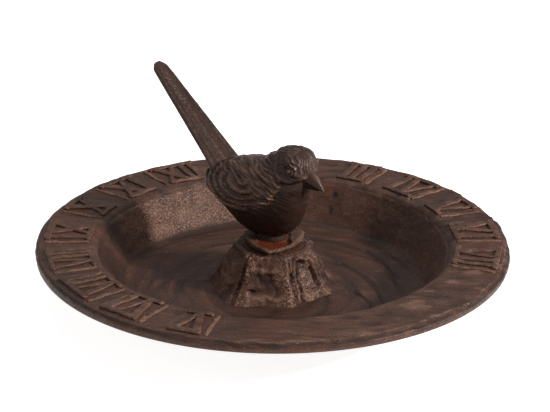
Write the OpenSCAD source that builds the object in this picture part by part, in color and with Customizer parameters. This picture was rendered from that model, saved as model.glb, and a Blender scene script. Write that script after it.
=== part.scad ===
// Sundial birdbath: a cast dish with raised hour numerals on its rim, a rock mound,
// a stone perch slab and a bird whose cocked tail is the gnomon.
// The dish stands on the XY plane, centred on the Z axis, with noon towards +Y.

/* [Dish] */
// Diameter over the rim
dish_d = 280; // [240:5:340]
// Width of the flat rim that carries the hours
rim_w = 35; // [30:1:45]
// Thickness of the rim at its outer edge
rim_edge_t = 6; // [5:0.5:9]
// Roll-off of the rim's upper outer edge
rim_roll = 3; // [1:0.5:4]
// Depth of the bowl below the rim
bowl_depth = 25.5; // [20:0.5:36]
// How far the bowl's wall leans in from rim to floor
wall_lean = 17; // [8:1:24]
// Radius between the bowl's wall and floor
floor_fillet = 10; // [4:1:14]
// Thickness of the casting
wall_t = 4.5; // [3.5:0.5:7]
// Outer diameter of the foot ring
foot_d = 136; // [110:2:150]
// Width of the foot ring
foot_w = 8; // [6:1:14]
// Height of the foot ring
foot_h = 3.5; // [3:0.5:6]

/* [Hours] */
// First hour on the dial, in the morning
first_hour = 5; // [4:1:7]
// Number of hours on the dial
hour_count = 15; // [11:1:17]
// Angle between one hour and the next, in degrees
hour_step = 18.5; // [16:0.5:20]
// Bare margin between the numerals and the rim's edges
numeral_margin = 4; // [3.5:0.5:6]
// Width of a numeral's strokes
stroke_w = 2.2; // [1.6:0.1:2.8]
// Height of the numerals above the rim
numeral_relief = 1.6; // [1:0.1:2.5]

/* [Mound] */
// Diameter of the rock mound at its foot
mound_d = 72; // [66:1:84]
// Diameter of the rock mound at its top
mound_top_d = 44; // [40:1:50]
// Depth of the clefts between the rock's ridges
cleft = 3; // [1:0.5:4]
// Clearance of the mound's recess round the dish's boss
boss_clearance = 0.3; // [0.1:0.1:0.6]

/* [Perch slab] */
// Mean diameter of the flat stone under the bird
slab_d = 38; // [34:1:42]
// Thickness of the flat stone
slab_t = 3.4; // [2.5:0.1:5]
// Width of the broken edge
slab_chip = 1.4; // [0.8:0.1:1.8]

/* [Bird] */
// Length from breast to rump
bird_length = 76; // [66:1:90]
// Height from foot to crown
bird_height = 60; // [54:1:70]
// Width over the wings
bird_width = 36; // [32:1:42]
// Turn of the bird from the noon line, in degrees
bird_turn = 24; // [-40:1:40]
// Length of the beak
beak_length = 15; // [10:0.5:18]
// Diameter of the foot that stands on the slab
bird_foot_d = 23; // [16:1:26]
// How far the wings stand out from the body
wing_raise = 1.6; // [0.8:0.1:2.5]
// Number of feather rows across a wing
feather_rows = 4; // [3:1:6]

/* [Tail] */
// Length of the tail that shows
tail_length = 75; // [60:1:84]
// Slope of the tail above the horizontal, in degrees
tail_slope = 45; // [38:1:55]
// Width of the tail at the rump
tail_root_w = 26; // [20:1:30]
// Width of the tail at its tip
tail_tip_w = 11; // [7:1:14]
// Thickness of the tail
tail_t = 3.2; // [2.5:0.1:4.5]
// Depth of the grooves between the tail's feathers
tail_groove = 0.7; // [0.3:0.1:1]
// How far the middle shaft stands out of the tail
shaft_rise = 0.7; // [0.4:0.1:1]
// Length of the tongue inside the rump
tongue_length = 9; // [7:0.5:12]
// Width of the tongue inside the rump
tongue_w = 13; // [10:0.5:15]

/* [Fixing] */
// Diameter of the pivot bolt
bolt_d = 6; // [5:0.5:8]
// Width across the bolt head's flats
head_af = 10; // [9:0.5:13]
// Height of the bolt head
head_h = 4; // [3:0.5:5.5]
// Depth of the thread in the bird's foot
thread_depth = 9; // [7:0.5:11]
// Outer diameter of the steel washer
washer_d = 16; // [14:0.5:20]
// Thickness of the steel washer
washer_t = 1.6; // [1.2:0.1:2.5]
// Outer diameter of the rubber seal
seal_d = 18; // [15:0.5:21]
// Thickness of the rubber seal
seal_t = 2; // [1.5:0.1:3]
// Gap between the bolt head and the ground
head_ground_gap = 1.9; // [1.5:0.1:4]
// Radial running clearance of the bolt in the mound and the slab
pivot_clearance = 0.06; // [0.02:0.01:0.1]
// Radial clearance of the bolt in the dish, the washer and the seal
bolt_clearance = 0.3; // [0.2:0.05:0.6]
// Clearance round the tail's tongue and the bolt's thread
seat_clearance = 0.05; // [0.02:0.01:0.1]

/* [Hidden] */
$fn = 96;

// Overlap of joined or cut solids
lap = 0.5;
rim_r = dish_d / 2;
bowl_r = rim_r - rim_w;
floor_r = bowl_r - wall_lean;
floor_z = foot_h + wall_t;
rim_z = floor_z + bowl_depth;
wall_angle = atan2(bowl_depth, wall_lean);

// The bolt head, washer and seal stack up inside a recess under the bowl's centre
washer_z = head_ground_gap + head_h;
seal_z = washer_z + washer_t;
recess_roof_z = seal_z + seal_t;
recess_gap = 1.5;
recess_r = seal_d / 2 + recess_gap;
boss_r = recess_r + wall_t;
boss_top_z = recess_roof_z + wall_t;

slab_z = rim_z;
bird_z = slab_z + slab_t;
bolt_r = bolt_d / 2;

iron = "#5a4137";
rusty_stone = "#6e3c22";
steel = "#9a9a9a";
rubber = "#2b2b2b";

// Points along a circular arc in a plane
function arc(center, r, from, to, steps = 6) =
    [for (k = [0:steps]) let (a = from + (to - from) * k / steps) center + r * [cos(a), sin(a)]];

// Dish

// Half section of the dish: bowl, rim, foot ring and the raised boss over the bolt head
function dish_section() =
    let (
        fillet_center = [floor_r - floor_fillet * tan(wall_angle / 2), floor_z + floor_fillet],
        lip_r = 2,
        lip_center = [bowl_r + lip_r * tan(wall_angle / 2), rim_z - lip_r],
        under_r = 1.5,
        roll_center = [rim_r - rim_roll, rim_z - rim_roll],
        under_center = [rim_r - under_r, rim_z - rim_edge_t + under_r],
        neck_r = bowl_r + wall_t / sin(wall_angle) - rim_edge_t / tan(wall_angle),
        foot_draft = 1
    )
    concat(
        [[0, boss_top_z], [0, recess_roof_z], [recess_r, recess_roof_z], [recess_r, foot_h]],
        [[foot_d / 2 - foot_w, foot_h], [foot_d / 2 - foot_w + foot_draft, 0]],
        [[foot_d / 2 - foot_draft, 0], [foot_d / 2, foot_h]],
        arc(fillet_center, floor_fillet + wall_t, -90, wall_angle - 90),
        [[neck_r, rim_z - rim_edge_t]],
        arc(under_center, under_r, -90, 0, 3),
        arc(roll_center, rim_roll, 0, 90),
        arc(lip_center, lip_r, 90, 90 + wall_angle, 3),
        arc(fillet_center, floor_fillet, wall_angle - 90, -90),
        [[boss_r, floor_z], [boss_r - foot_draft, boss_top_z]]
    );

// Roman numerals of the hours from one to twelve, as glyph letters
roman = ["I", "II", "III", "IV", "V", "VI", "VII", "VIII", "IX", "X", "XI", "XII"];
// Angle that each glyph takes up on the rim, and the overhang of its serifs
narrow_glyph = 2.9;
wide_glyph = 7.8;
serif_overhang = 0.9;
numeral_in_r = bowl_r + numeral_margin;
numeral_out_r = rim_r - numeral_margin - 1;

function glyph_angle(letter) = letter == "I" ? narrow_glyph : wide_glyph;
// Angle taken up by the first n glyphs of a numeral
function run_angle(word, n) = n == 0 ? 0 : glyph_angle(word[n - 1]) + run_angle(word, n - 1);

// One raised stroke between two points given as [angle, radius], with noon at angle 0
module stroke(from, to) {
    a = from[1] * [sin(from[0]), cos(from[0])];
    b = to[1] * [sin(to[0]), cos(to[0])];
    along = (b - a) / norm(b - a);
    half = stroke_w / 2 * [-along[1], along[0]];
    polygon([a + half, a - half, b - half, b + half]);
}

// One glyph: feet towards the centre, tops outwards
module glyph(letter, left) {
    right = left + glyph_angle(letter);
    mid = (left + right) / 2;
    inset = narrow_glyph / 3;
    if (letter == "I") stroke([mid, numeral_in_r], [mid, numeral_out_r]);
    if (letter == "V") {
        stroke([left + inset, numeral_out_r], [mid, numeral_in_r]);
        stroke([right - inset, numeral_out_r], [mid, numeral_in_r]);
    }
    if (letter == "X") {
        stroke([left + inset, numeral_out_r], [right - inset, numeral_in_r]);
        stroke([right - inset, numeral_out_r], [left + inset, numeral_in_r]);
    }
}

// One hour's numeral with the serif bars that close its two ends
module numeral(word, at) {
    span = run_angle(word, len(word));
    left = at - span / 2;
    end = span / 2 + serif_overhang - narrow_glyph / 4;
    linear_extrude(numeral_relief + lap)
        union() {
            for (k = [0:len(word) - 1]) glyph(word[k], left + run_angle(word, k));
            for (r = [numeral_in_r, numeral_out_r]) stroke([at - end, r], [at + end, r]);
        }
}

module hours() {
    for (k = [0:hour_count - 1]) {
        hour = first_hour + k;
        translate([0, 0, rim_z - lap]) numeral(roman[(hour - 1) % 12], (hour - 12) * hour_step);
    }
}

module dish() {
    color(iron)
        difference() {
            union() {
                rotate_extrude() polygon(dish_section());
                hours();
            }
            translate([0, 0, recess_roof_z - lap])
                cylinder(r = bolt_r + bolt_clearance, h = wall_t + 2 * lap);
        }
}

// Rock mound

// Outward swell of each ridge round the rock, as a share of the cleft depth
ridges = [0.2, 1, 0.7, -0.4, 0.1, 0.9, 1, 0.8, 0, -0.6, 0.6, 0.9, -0.3, 0.5, 1, 0.4, -0.5, 0.3, 0.8, -0.2];
// Height and radius of the rock's ledges: [share of height, share of the way in from foot to top]
ledges = [[0, 0], [0.1, 0.04], [0.14, 0.16], [0.42, 0.38], [0.5, 0.56], [0.72, 0.7], [0.86, 0.86], [1, 1]];

// Radius of the rock at ledge j and ridge i: every other ledge slips round by one ridge
function rock_radius(i, j) =
    let (swell = ridges[(i + floor(j / 3)) % len(ridges)])
    mound_d / 2 + (mound_top_d - mound_d) / 2 * ledges[j][1] + cleft * (swell - 0.5) * (j == 0 ? 0.6 : 1);

module rock_skin() {
    n = len(ridges);
    rows = len(ledges);
    points = [
        for (j = [0:rows - 1])
            for (i = [0:n - 1])
                let (r = rock_radius(i, j), a = 360 * i / n)
                [r * cos(a), r * sin(a), ledges[j][0] * bowl_depth]
    ];
    sides = [
        for (j = [0:rows - 2])
            for (i = [0:n - 1])
                let (k = (i + 1) % n)
                each [[j * n + i, (j + 1) * n + k, j * n + k], [j * n + i, (j + 1) * n + i, (j + 1) * n + k]]
    ];
    polyhedron(
        concat(points, [[0, 0, 0], [0, 0, bowl_depth]]),
        concat(
            sides,
            [for (i = [0:n - 1]) [rows * n, i, (i + 1) % n]],
            [for (i = [0:n - 1]) [rows * n + 1, (rows - 1) * n + (i + 1) % n, (rows - 1) * n + i]]
        )
    );
}

module rock_mound() {
    recess_h = boss_top_z - floor_z + boss_clearance;
    color(iron)
        translate([0, 0, floor_z])
            difference() {
                rock_skin();
                translate([0, 0, -lap]) cylinder(r = boss_r + boss_clearance, h = recess_h + lap);
                cylinder(r = bolt_r + pivot_clearance, h = bowl_depth + lap);
            }
}

// Perch slab

// Corners of the broken stone as [angle, reach as a share of its mean radius]
slab_corners = [
    [20, 0.95], [60, 1], [95, 0.92], [131, 0.96], [172, 0.86],
    [223, 1.04], [234, 1.14], [250, 1.05], [322, 0.88], [348, 1]
];

function slab_outline(inset) = [
    for (corner = slab_corners) (slab_d / 2 * corner[1] - inset) * [cos(corner[0]), sin(corner[0])]
];

module perch_slab() {
    edge_t = slab_t / 3;
    color(rusty_stone)
        translate([0, 0, slab_z])
            difference() {
                hull() {
                    linear_extrude(slab_t) polygon(slab_outline(slab_chip));
                    translate([0, 0, edge_t]) linear_extrude(edge_t) polygon(slab_outline(0));
                }
                translate([0, 0, -lap]) cylinder(r = bolt_r + pivot_clearance, h = slab_t + 2 * lap);
            }
}

// Bird, in its own frame: the bolt's axis is Z, the slab's top is z = 0 and the beak points to +X

// Sections of the bird in side view, from the rump to the crown, as
// [x and height of the upper point, x and height of the lower point, half width],
// in shares of the bird's length, height and width
sections = [
    [-0.64, 0.44, -0.63, 0.4, 0.04],
    [-0.605, 0.51, -0.585, 0.345, 0.19],
    [-0.53, 0.615, -0.49, 0.27, 0.31],
    [-0.41, 0.705, -0.355, 0.17, 0.4],
    [-0.26, 0.765, -0.225, 0.055, 0.46],
    [-0.13, 0.8, -0.11, 0.01, 0.47],
    [-0.05, 0.825, 0.05, 0.03, 0.455],
    [0, 0.845, 0.165, 0.095, 0.43],
    [0.035, 0.865, 0.24, 0.21, 0.4],
    [0.065, 0.885, 0.283, 0.36, 0.36],
    [0.095, 0.908, 0.303, 0.5, 0.33],
    [0.125, 0.937, 0.325, 0.62, 0.32],
    [0.16, 0.967, 0.354, 0.74, 0.31],
    [0.195, 0.99, 0.354, 0.84, 0.26],
    [0.233, 1, 0.325, 0.92, 0.17],
    [0.262, 0.995, 0.29, 0.97, 0.035]
];
// Rings of the skin and points round each ring
ring_count = 54;
ring_points = 40;

// Catmull-Rom curve through the rows of a table, at place u from 0 to 1
function through(rows, u) =
    let (
        last = len(rows) - 1,
        t = min(u, 0.99999) * last,
        k = floor(t),
        f = t - k,
        p0 = rows[max(k - 1, 0)],
        p1 = rows[k],
        p2 = rows[k + 1],
        p3 = rows[min(k + 2, last)]
    )
    p1 + f / 2 * (p2 - p0 + f * (2 * p0 - 5 * p1 + 4 * p2 - p3 + f * (3 * p1 - p0 - 3 * p2 + p3)));

// The wing in side view, from shoulder to tip
shoulder = [0.16 * bird_length, 0.5 * bird_height];
wing_tip = [-0.62 * bird_length, 0.4 * bird_height];
wing_half_w = 0.22 * bird_height;

// How far the skin stands out at a side-view point: the wing and its rows of feathers
function wing_relief(p) =
    let (
        axis = (wing_tip - shoulder) / norm(wing_tip - shoulder),
        s = (p - shoulder) * axis / norm(wing_tip - shoulder),
        v = (p - shoulder) * [-axis[1], axis[0]] / wing_half_w,
        half = 1.05 * sqrt(max(0, 1 - pow(2 * min(max(s, 0), 1) - 1, 2) * 0.96)),
        inside = s < 0 || s > 1 ? 0 : min(1, max(0, (half - abs(v)) * 5)),
        row = (s * 1.2 + v * 0.5 + 2) * feather_rows / 2
    )
    inside * wing_raise * (0.55 + 0.45 * (row - floor(row)));

function bird_ring(u) =
    let (
        row = through(sections, u),
        size = [bird_length, bird_height],
        top = [row[0] * size[0], row[1] * size[1]],
        bottom = [row[2] * size[0], row[3] * size[1]],
        up = (top - bottom) / norm(top - bottom)
    )
    [
        for (k = [0:ring_points - 1])
            let (
                a = 360 * k / ring_points,
                skin = (top + bottom) / 2 + (top - bottom) / 2 * sin(a),
                grow = wing_relief(skin) * pow(abs(cos(a)), 0.7),
                p = skin + grow * sin(a) * up
            )
            [p[0], -(row[4] * bird_width + grow) * cos(a), p[1]]
    ];

// Middle of a ring's points
function middle(ring) = [for (p = ring) 1] * ring / len(ring);

// Skin through a list of rings, closed at both ends with a fan
module loft(rings) {
    n = len(rings[0]);
    m = len(rings);
    points = [for (r = rings) each r];
    ends = [middle(rings[0]), middle(rings[m - 1])];
    polyhedron(
        concat(points, ends),
        concat(
            [
                for (j = [0:m - 2])
                    for (i = [0:n - 1])
                        let (k = (i + 1) % n)
                        each [
                            [j * n + i, j * n + k, (j + 1) * n + k],
                            [j * n + i, (j + 1) * n + k, (j + 1) * n + i]
                        ]
            ],
            [for (i = [0:n - 1]) [m * n, (i + 1) % n, i]],
            [for (i = [0:n - 1]) [m * n + 1, (m - 1) * n + i, (m - 1) * n + (i + 1) % n]]
        )
    );
}

// The two halves of the closed beak
module beak() {
    root = [0.295 * bird_length, 0, 0.72 * bird_height];
    root_r = 3.2;
    tip_r = 0.6;
    droop = 20;
    for (upper = [1, -1])
        translate(root)
            rotate([0, droop, 0])
                hull() {
                    translate([0, 0, upper * root_r / 2]) scale([1, 1.4, 1]) sphere(r = root_r, $fn = 16);
                    translate([beak_length - (upper > 0 ? 0 : 2), 0, 0]) sphere(r = tip_r, $fn = 13);
                }
}

// Round eyes, each in a raised ring
module eyes() {
    eye_r = 1.8;
    ring_r = 2.8;
    for (side = [1, -1])
        translate([0.254 * bird_length, side * 0.3 * bird_width, 0.815 * bird_height]) {
            sphere(r = eye_r, $fn = 24);
            rotate([-side * 75, 0, 0])
                rotate_extrude($fn = 28) translate([ring_r, 0]) circle(r = 0.7, $fn = 10);
        }
}

// Places the tail's own frame on the rump: the tail runs along +X and its width along Y
module at_rump() {
    translate([-0.45 * bird_length, 0, 0.61 * bird_height]) rotate([0, 180 + tail_slope, 0]) children();
}

module bird() {
    foot_h = 0.12 * bird_height;
    color(iron)
        translate([0, 0, bird_z])
            rotate([0, 0, bird_turn - 90])
                difference() {
                    union() {
                        loft([for (k = [0:ring_count]) bird_ring(k / ring_count)]);
                        beak();
                        eyes();
                        cylinder(d = bird_foot_d, h = foot_h);
                    }
                    translate([0, 0, -lap]) cylinder(r = bolt_r + seat_clearance, h = thread_depth + lap);
                    at_rump() {
                        tongue(seat_clearance);
                        tail_seat();
                    }
                }
}

// Tail

module tongue(grow = 0) {
    w = tongue_w + 2 * grow;
    t = tail_t / 2 + 2 * grow;
    translate([-tongue_length - grow, -w / 2, -t / 2]) cube([tongue_length + grow + lap, w, t]);
}

// Flat seat across the rump that the tail's shoulders stand on
module tail_seat() {
    w = tail_root_w + 2 * seat_clearance;
    t = tail_t + 2 * shaft_rise + 2 * seat_clearance;
    translate([0, -w / 2, -t / 2]) cube([tail_root_w / 2, w, t]);
}

// Outline of the tail seen square to its flat side
module tail_outline() {
    tip_round = tail_tip_w / 3;
    polygon([
        for (side = [-1, 1])
            let (
                root = [0, side * tail_root_w / 2],
                shoulder = [tail_length - tip_round, side * tail_tip_w / 2],
                tip = [tail_length, side * (tail_tip_w / 2 - tip_round)]
            )
            each side < 0 ? [root, shoulder, tip] : [tip, shoulder, root]
    ]);
}

// Straight groove between two tail feathers, on the upper or the lower face
module tail_groove_cut(side, face) {
    from = [-lap, side * tail_root_w / 6];
    to = [tail_length + lap, side * tail_tip_w / 6];
    run = norm(to - from);
    lift = 0.3;
    edge = (tail_groove + lift) * sqrt(2);
    translate([from[0], from[1], face * (tail_t / 2 + lift)])
        rotate([0, 0, atan2(to[1] - from[1], to[0] - from[0])])
            rotate([45, 0, 0])
                translate([0, -edge / 2, -edge / 2]) cube([run, edge, edge]);
}

module tail_gnomon() {
    shaft_r = 2 * shaft_rise;
    color(iron)
        translate([0, 0, bird_z])
            rotate([0, 0, bird_turn - 90])
                at_rump() {
                    difference() {
                        linear_extrude(tail_t, center = true) tail_outline();
                        for (side = [-1, 1], face = [-1, 1]) tail_groove_cut(side, face);
                    }
                    // The shaft stands out of the face that looks forward and up
                    translate([0, 0, shaft_r - shaft_rise - tail_t / 2])
                        rotate([0, 90, 0])
                            cylinder(r1 = shaft_r, r2 = shaft_r - shaft_rise / 2, h = tail_length * 0.96);
                    tongue();
                }
}

// Fixing

module pivot_bolt() {
    color(steel)
        translate([0, 0, head_ground_gap]) {
            cylinder(d = head_af / cos(30), h = head_h, $fn = 6);
            cylinder(r = bolt_r, h = bird_z + thread_depth - 1 - head_ground_gap);
        }
}

module flat_ring(outer_d, t) {
    difference() {
        cylinder(d = outer_d, h = t);
        translate([0, 0, -lap]) cylinder(r = bolt_r + bolt_clearance, h = t + 2 * lap);
    }
}

module washer() {
    color(steel) translate([0, 0, washer_z]) flat_ring(washer_d, washer_t);
}

module rubber_seal() {
    color(rubber) translate([0, 0, seal_z]) flat_ring(seal_d, seal_t);
}

dish();
rock_mound();
perch_slab();
bird();
tail_gnomon();
pivot_bolt();
washer();
rubber_seal();
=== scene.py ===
"""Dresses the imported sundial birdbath: the chiselled cast dish with its raised hours,
the rock, the perch stone, the bird with its tail gnomon, the pivot bolt and the studio."""
import math

import bmesh
import bpy
from bpy.props import FloatProperty, FloatVectorProperty, IntProperty, PointerProperty
from mathutils import Matrix, Vector, noise


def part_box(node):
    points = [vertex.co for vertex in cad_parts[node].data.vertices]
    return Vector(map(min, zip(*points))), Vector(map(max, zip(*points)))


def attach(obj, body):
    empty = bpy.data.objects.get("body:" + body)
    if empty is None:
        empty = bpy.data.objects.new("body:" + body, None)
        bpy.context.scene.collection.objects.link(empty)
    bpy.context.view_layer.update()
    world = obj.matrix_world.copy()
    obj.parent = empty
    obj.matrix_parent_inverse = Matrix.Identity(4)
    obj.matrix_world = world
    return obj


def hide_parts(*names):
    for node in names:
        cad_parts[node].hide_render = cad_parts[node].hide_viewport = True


bl_info = {
    "name": "Sundial Birdbath",
    "version": (1, 0, 0),
    "blender": (4, 5, 0),
    "location": "3D View > Sidebar > Birdbath",
    "description": "Builds a cast-iron sundial birdbath with a bird gnomon",
    "category": "Object",
}

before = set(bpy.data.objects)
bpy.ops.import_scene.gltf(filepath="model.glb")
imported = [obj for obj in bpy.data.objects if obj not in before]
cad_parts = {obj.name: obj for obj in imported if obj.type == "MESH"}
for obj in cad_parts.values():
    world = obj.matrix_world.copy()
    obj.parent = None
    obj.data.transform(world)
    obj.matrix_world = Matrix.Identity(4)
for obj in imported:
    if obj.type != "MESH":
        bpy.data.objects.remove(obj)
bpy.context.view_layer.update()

MM = 0.001
# The photograph's right-hand direction, as an angle on the dial plane
PHOTO_TURN = math.radians(-29.4)

RIM_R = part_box("dish")[1].x
RIM_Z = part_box("perch_slab")[0].z
FLOOR_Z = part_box("rock_mound")[0].z
SLAB_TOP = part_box("perch_slab")[1].z
SEAL_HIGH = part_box("rubber_seal")[1]
BOLT_LOW, BOLT_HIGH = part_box("pivot_bolt")
RIM_W = 35 * MM
BOWL_R = RIM_R - RIM_W
WALL_LEAN = 17 * MM
FLOOR_R = BOWL_R - WALL_LEAN
WALL_T = 4.5 * MM
RIM_EDGE_T = 6 * MM
BOSS_R = 15 * MM
BOSS_TOP = SEAL_HIGH.z + WALL_T
BOLT_R = 3 * MM
BOLT_CLEARANCE = 0.3 * MM
BOSS_CLEARANCE = 0.3 * MM
PIVOT_R = BOLT_R + 0.06 * MM
# Lengths of the fitted camera in pixels of the photograph
FOCAL_PIXELS = 2541
PHOTO_WIDTH_PIXELS = 550
SENSOR_WIDTH = 36


def linear(*rgb):
    """Linear colour of an 8-bit sRGB colour."""
    return tuple(
        c / 255 / 12.92 if c <= 10 else ((c / 255 + 0.055) / 1.055) ** 2.4 for c in rgb
    )


def length(name, description, millimetres):
    return FloatProperty(name=name, description=description, default=millimetres * MM, unit="LENGTH")


def angle(name, description, degrees):
    return FloatProperty(name=name, description=description, default=math.radians(degrees), subtype="ANGLE")


def count(name, description, number, **limits):
    return IntProperty(name=name, description=description, default=number, **limits)


def paint(name, description, *rgb):
    return FloatVectorProperty(name=name, description=description, subtype="COLOR", default=linear(*rgb))


class BirdbathSizes(bpy.types.PropertyGroup):
    foot_diameter: length("Foot ring", "Outer diameter of the foot ring", 136)
    rim_swell: length("Rim swell", "Height of the rim's chiselled unevenness", 0.55)
    hour_relief: length("Hour relief", "Height of the hours above the rim", 1.4)
    hour_stroke: length("Hour stroke", "Width of a numeral's stroke", 3.7)
    first_hour: count("First hour", "First hour on the dial", 5, min=1, max=12)
    hour_count: count("Hours", "Number of hours on the dial", 15, min=3)
    hour_step: angle("Hour step", "Angle between two hours", 18.5)
    cleft_depth: length("Cleft depth", "Depth of the clefts in the rock", 3)
    bird_length: length("Bird length", "Length of the bird from breast to rump", 76)
    bird_height: length("Bird height", "Height of the bird from foot to crown", 60)
    bird_width: length("Bird width", "Width of the bird over its wings", 36)
    bird_turn: angle("Bird turn", "Turn of the bird from the noon line", 24)
    feather_relief: length("Feather relief", "Height of the long wing feathers", 1.6)
    tail_length: length("Tail length", "Length of the tail gnomon", 75)
    tail_slope: angle("Tail slope", "Slope of the tail gnomon", 45)


class BirdbathColours(bpy.types.PropertyGroup):
    iron: paint("Iron", "Painted iron of the dish", 81, 51, 38)
    # Rubbed iron also lends its colour to the painted glints
    rubbed: paint("Rubbed iron", "Iron where the paint is rubbed", 129, 97, 79)
    hollow: paint("Hollows", "Dark paint in the hollows", 35, 18, 12)
    rust: paint("Rust", "Rust on the perch stone", 116, 52, 25)
    bird_iron: paint("Bird", "Painted iron of the bird", 72, 47, 36)
    steel: paint("Steel", "Zinc-plated steel", 150, 150, 148)
    rubber: paint("Rubber", "Rubber of the seal", 38, 36, 35)


def sizes():
    return bpy.context.scene.birdbath_sizes


def colours():
    return bpy.context.scene.birdbath_colours


def ease(low, high, x):
    """0 below low, 1 above high and an easy curve between."""
    t = min(1.0, max(0.0, (x - low) / (high - low)))
    return t * t * (3 - 2 * t)


def swell(point, size, seed=0.0, octaves=3):
    """Layered noise of about -1 to 1 whose largest waves are about size across."""
    q = Vector((point[0] / size + seed, point[1] / size + 2 * seed, point[2] / size - seed))
    return noise.fractal(q, 1.0, 2.0, octaves)


def crease(point, size, seed=0.0):
    """1 along thin lines and 0 between them."""
    return max(0.0, 1 - 4 * abs(swell(point, size, seed, 2)))


def bump_at(value, middle, width):
    """1 where the value is at the middle, and 0 far from it."""
    return math.exp(-(((value - middle) / width) ** 2))


def clamp(value):
    return min(1.0, max(0.0, value))


def ripple(value, ridges):
    """Sum of ridges and grooves given as (middle, width, height)."""
    return sum(height * bump_at(value, middle, width) for middle, width, height in ridges)


def degrees_right(angle, lowest):
    """Degrees to the right of the photograph's front, from lowest to a full turn above it."""
    return (math.degrees(angle - PHOTO_TURN) + 90 - lowest) % 360 + lowest


def turns(number):
    """Angles of points spaced evenly round a circle."""
    return [2 * math.pi * k / number for k in range(number)]


def on_circle(turn, r, z):
    return math.cos(turn) * r, math.sin(turn) * r, z


def new_skin(*layers):
    """An empty bmesh with a value at each vertex for each name."""
    bm = bmesh.new()
    return bm, *(bm.verts.layers.float.new(layer) for layer in layers)


def in_photo(x, y):
    """A plan point in the photograph's own directions: to the right, and away."""
    c, s = math.cos(PHOTO_TURN), math.sin(PHOTO_TURN)
    return x * c + y * s, y * c - x * s


def add_piece(name, bm, body, nodes, material):
    """Makes a bmesh a finished piece that rides on a body and stands for CAD nodes."""
    bmesh.ops.remove_doubles(bm, verts=bm.verts, dist=0.001 * MM)
    bmesh.ops.recalc_face_normals(bm, faces=bm.faces)
    mesh = bpy.data.meshes.new(name)
    bm.to_mesh(mesh)
    bm.free()
    mesh.shade_smooth()
    mesh.materials.append(material)
    piece = bpy.data.objects.new(name, mesh)
    bpy.context.scene.collection.objects.link(piece)
    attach(piece, body)
    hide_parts(*nodes)
    return piece


def wire_section(bm, corners, longest):
    """Closed wire through corners of (radius, height, rounding), cut into short edges."""
    verts = [bm.verts.new((r, 0, z)) for r, z, _ in corners]
    for a, b in zip(verts, verts[1:] + verts[:1]):
        bm.edges.new((a, b))
    for vert, (_, _, rounding) in zip(verts, corners):
        if rounding:
            bmesh.ops.bevel(
                bm, geom=[vert], offset=rounding, offset_type="OFFSET", affect="VERTICES",
                segments=6 if rounding > 1.6 * MM else 3, profile=0.5, material=-1,
            )
    for edge in list(bm.edges):
        cuts = int(edge.calc_length() / longest((edge.verts[0].co + edge.verts[1].co) / 2))
        if cuts:
            bmesh.ops.subdivide_edges(bm, edges=[edge], cuts=cuts)


# Dish

# Steps of the dish's skin round its axis
DISH_STEPS = 470
# Cracks across the bowl's floor, as plan points in the photograph's directions
CRACKS = (
    ((40.7, 28.5), (51, 14), (60.7, -4.7), (65.2, -27.2)),
    ((56.3, 46.9), (67.9, 29.1), (76, 5.8)),
    ((47, -12), (58, -31), (60, -46)),
)
# Flakes broken out of the wall behind the bird's head
WALL_PITS = ((32.6, 99.9), (35.5, 87), (43.2, 95.2), (38, 92))


def crack_depth(x, y):
    """1 on a crack of the bowl's floor, 0 away from it."""
    u, v = in_photo(x, y)
    p = Vector((u, v)) / MM
    nearest = 9.0
    for line in CRACKS:
        for a, b in zip(line, line[1:]):
            a, b = Vector(a), Vector(b)
            t = clamp((p - a).dot(b - a) / (b - a).length_squared)
            nearest = min(nearest, (p - a.lerp(b, t)).length)
    wide = 1.5 + 0.8 * swell((p.x, p.y, 0), 9, 3.1, 2)
    return max(0.0, 1 - nearest / wide)


ROMAN = ("I", "II", "III", "IV", "V", "VI", "VII", "VIII", "IX", "X", "XI", "XII")
GLYPH_TURN = {"I": math.radians(2.9), "V": math.radians(7.8), "X": math.radians(7.8)}
HOUR_IN = BOWL_R + 4.5 * MM
HOUR_OUT = RIM_R - 6.5 * MM


def squeeze(word):
    """Share of its natural width that a long numeral keeps, so bare rim stays beside it."""
    return min(1, math.radians(12.6) / sum(GLYPH_TURN[glyph] for glyph in word))


def numeral_span(word):
    return sum(GLYPH_TURN[glyph] for glyph in word) * squeeze(word)


def hour_block(x, y):
    """How far a rim point is on an hour's raised block, and on the block's rough near edge, the side towards
    the front that takes a painted highlight.
    """
    s = sizes()
    turn, r = math.atan2(x, y), math.hypot(x, y)
    k = min(s.hour_count - 1, max(0, round(turn / s.hour_step + 12 - s.first_hour)))
    hour = s.first_hour + k
    gap = turn - (hour - 12) * s.hour_step
    half = numeral_span(ROMAN[(hour - 1) % 12]) / 2 + math.radians(0.9)
    rough = 0.9 * swell((x, y, 0), 7 * MM, 6.1, 3)
    side = (abs(gap) - half) * r / MM + rough
    radial = max(HOUR_IN - 2.2 * MM - r, r - HOUR_OUT - 2.4 * MM) / MM + rough
    _, away = in_photo(math.copysign(math.cos(turn), gap), -math.copysign(math.sin(turn), gap))
    # The side of the block that faces the front, where the rim takes a painted highlight with glints
    near = bump_at(side, 0.1, 0.75) * ease(0.15, 0.7, -away) * ease(1.5, 0, radial)
    return ease(0.45, -0.55, max(side, radial)), near


def rim_relief(x, y):
    """Height of the rim's skin over its flat plane: wood-like chisel strokes and swells."""
    u, v = in_photo(x, y)
    bend = 6 * MM * swell((x, y, 0), 60 * MM, 5.2, 2)
    broad = swell((x, y, 0), 34 * MM, 1.7, 2)
    strokes = swell((u / 5, v + bend, 0), 5 * MM, 2.3, 3)
    gouges = crease((u / 6, v + 1.5 * bend, 0.3), 11 * MM, 4.4)
    lumps = swell((u / 1.6, v, 0.1), 8 * MM, 7.4, 3) * (0.4 + 0.9 * ease(-20 * MM, 90 * MM, u))
    on_block, _ = hour_block(x, y)
    skin = 0.4 * broad + 0.5 * strokes - 0.6 * gouges + lumps
    return sizes().rim_swell * skin * (1 - 0.5 * on_block) + 0.45 * MM * on_block


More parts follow.
